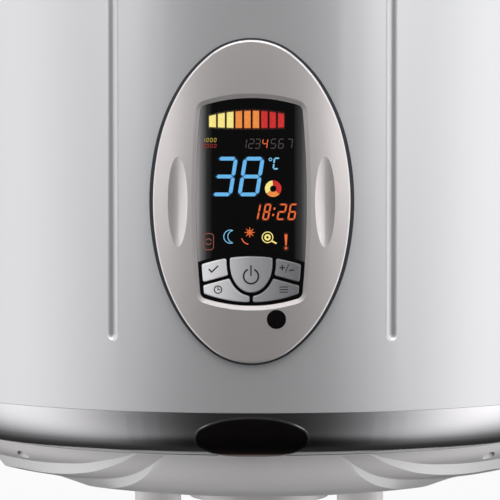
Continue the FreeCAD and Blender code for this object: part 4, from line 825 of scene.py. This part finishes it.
def studio_world():
    """Bright sides, a dark front and a soft sky; the camera sees plain near-white."""
    world = bpy.data.worlds.new("studio")
    bpy.context.scene.world = world
    world.use_nodes = True
    tree = world.node_tree
    tree.nodes.clear()
    place = add(tree, "ShaderNodeTexCoord")
    split = add(tree, "ShaderNodeSeparateXYZ")
    tree.links.new(place.outputs["Generated"], split.inputs["Vector"])
    level = add(tree, "ShaderNodeCombineXYZ")
    tree.links.new(split.outputs["X"], level.inputs["X"])
    tree.links.new(split.outputs["Y"], level.inputs["Y"])
    flatter = add(tree, "ShaderNodeMath", operation="MULTIPLY")
    flatter.inputs[1].default_value = side_flattening
    tree.links.new(split.outputs["Z"], flatter.inputs[0])
    tree.links.new(flatter.outputs[0], level.inputs["Z"])
    heading = add(tree, "ShaderNodeVectorMath", operation="NORMALIZE")
    tree.links.new(level.outputs["Vector"], heading.inputs[0])
    around = add(tree, "ShaderNodeSeparateXYZ")
    tree.links.new(heading.outputs["Vector"], around.inputs["Vector"])
    sideways = add(tree, "ShaderNodeMath", operation="ABSOLUTE")
    tree.links.new(around.outputs["X"], sideways.inputs[0])
    steep = add(tree, "ShaderNodeMath", operation="POWER")
    steep.inputs[1].default_value = side_steepness
    tree.links.new(sideways.outputs[0], steep.inputs[0])
    sides = add(tree, "ShaderNodeMapRange")
    sides.inputs["To Min"].default_value = front_light
    sides.inputs["To Max"].default_value = side_light
    tree.links.new(steep.outputs[0], sides.inputs["Value"])
    lower = add(tree, "ShaderNodeMapRange", interpolation_type="SMOOTHSTEP")
    lower.inputs["From Min"].default_value, lower.inputs["From Max"].default_value = ground_fade
    lower.inputs["To Min"].default_value = ground_light
    lower.inputs["To Max"].default_value = 1.0
    tree.links.new(split.outputs["Z"], lower.inputs["Value"])
    lowered = add(tree, "ShaderNodeMath", operation="MULTIPLY")
    tree.links.new(sides.outputs["Result"], lowered.inputs[0])
    tree.links.new(lower.outputs["Result"], lowered.inputs[1])
    upper = add(tree, "ShaderNodeMapRange", interpolation_type="SMOOTHSTEP")
    upper.inputs["From Min"].default_value, upper.inputs["From Max"].default_value = sky_fade
    upper.inputs["To Min"].default_value = 0.0
    upper.inputs["To Max"].default_value = sky_light
    tree.links.new(split.outputs["Z"], upper.inputs["Value"])
    total = add(tree, "ShaderNodeMath", operation="ADD")
    lean = add(tree, "ShaderNodeMath", operation="MULTIPLY_ADD")
    lean.inputs[1].default_value = right_gain
    lean.inputs[2].default_value = 1.0
    tree.links.new(split.outputs["X"], lean.inputs[0])
    leaning = add(tree, "ShaderNodeMath", operation="MULTIPLY")
    tree.links.new(lowered.outputs[0], leaning.inputs[0])
    tree.links.new(lean.outputs[0], leaning.inputs[1])
    tree.links.new(leaning.outputs[0], total.inputs[0])
    tree.links.new(upper.outputs["Result"], total.inputs[1])
    shown = add(tree, "ShaderNodeBackground")
    shown.inputs["Color"].default_value = (0.96, 0.96, 0.97, 1.0)
    shown.inputs["Strength"].default_value = 1.0
    lighting = add(tree, "ShaderNodeBackground")
    lighting.inputs["Color"].default_value = (0.985, 0.985, 1.0, 1.0)
    tree.links.new(total.outputs[0], lighting.inputs["Strength"])
    path = add(tree, "ShaderNodeLightPath")
    mix = add(tree, "ShaderNodeMixShader")
    output = add(tree, "ShaderNodeOutputWorld")
    tree.links.new(path.outputs["Is Camera Ray"], mix.inputs["Fac"])
    tree.links.new(lighting.outputs["Background"], mix.inputs[1])
    tree.links.new(shown.outputs["Background"], mix.inputs[2])
    tree.links.new(mix.outputs["Shader"], output.inputs["Surface"])


def area_light(name, spot, target, size, power, mirrored=True):
    """Soft lamp aimed at target; the bright metal doesn't show it where mirrored is off."""
    data = bpy.data.lights.new(name, "AREA")
    data.shape = "RECTANGLE"
    data.size, data.size_y = size
    data.energy = power
    lamp = bpy.data.objects.new(name, data)
    lamp.location = spot
    lamp.rotation_euler = (Vector(target) - Vector(spot)).to_track_quat("-Z", "Y").to_euler()
    lamp.visible_glossy = mirrored
    bpy.context.scene.collection.objects.link(lamp)


def floor_finish():
    """Pale floor that lights the object softly but doesn't show in its reflections."""
    material = finish("pale floor", (0.86, 0.86, 0.86), 0.7, vary=0.01, patch=2.0)
    tree = material.node_tree
    path = add(tree, "ShaderNodeLightPath")
    clear = add(tree, "ShaderNodeBsdfTransparent")
    share = add(tree, "ShaderNodeMath", operation="MULTIPLY_ADD")
    share.inputs[1].default_value = floor_diffuse_cut
    tree.links.new(path.outputs["Is Diffuse Ray"], share.inputs[0])
    tree.links.new(path.outputs["Is Glossy Ray"], share.inputs[2])
    mix = add(tree, "ShaderNodeMixShader")
    output = next(node for node in tree.nodes if node.type == "OUTPUT_MATERIAL")
    tree.links.new(share.outputs[0], mix.inputs["Fac"])
    tree.links.new(shader_of(material).outputs["BSDF"], mix.inputs[1])
    tree.links.new(clear.outputs["BSDF"], mix.inputs[2])
    tree.links.new(mix.outputs["Shader"], output.inputs["Surface"])
    return material


def floor():
    low = cad_box[0][2] - floor_drop
    verts = [(-3.0, -1.2, low), (3.0, -1.2, low), (3.0, 3.0, low), (-3.0, 3.0, low)]
    mesh = bpy.data.meshes.new("studio_floor")
    mesh.from_pydata(verts, [], [(0, 1, 2, 3)])
    mesh.materials.append(floor_finish())
    piece = bpy.data.objects.new("studio_floor", mesh)
    bpy.context.scene.collection.objects.link(piece)


def camera():
    data = bpy.data.cameras.new("photo_camera")
    data.lens = camera_lens
    data.sensor_width = 36.0
    data.clip_end = 100.0
    eye = bpy.data.objects.new("photo_camera", data)
    eye.location = camera_spot
    eye.rotation_euler = (math.radians(90.0 - camera_pitch), 0.0, math.radians(camera_yaw))
    bpy.context.scene.collection.objects.link(eye)
    bpy.context.scene.camera = eye


studio_world()
area_light("left_softbox", (-1.5, -1.9, 0.25), panel_target, (0.6, 1.3), 4.0)
area_light("right_softbox", (1.5, -1.9, 0.25), panel_target, (0.6, 1.3), 5.5)
area_light("top_softbox", (0.0, -1.3, 1.0), top_target, (2.0, 1.0), 19.0)
floor()
area_light("low_left", (-1.35, -1.15, -0.80), cap_target, (0.7, 0.5), low_left_power, mirrored=False)
area_light("low_right", (1.35, -1.15, -0.80), cap_target, (0.7, 0.5), low_right_power, mirrored=False)
camera()

bpy.context.scene.view_settings.view_transform = "Standard"
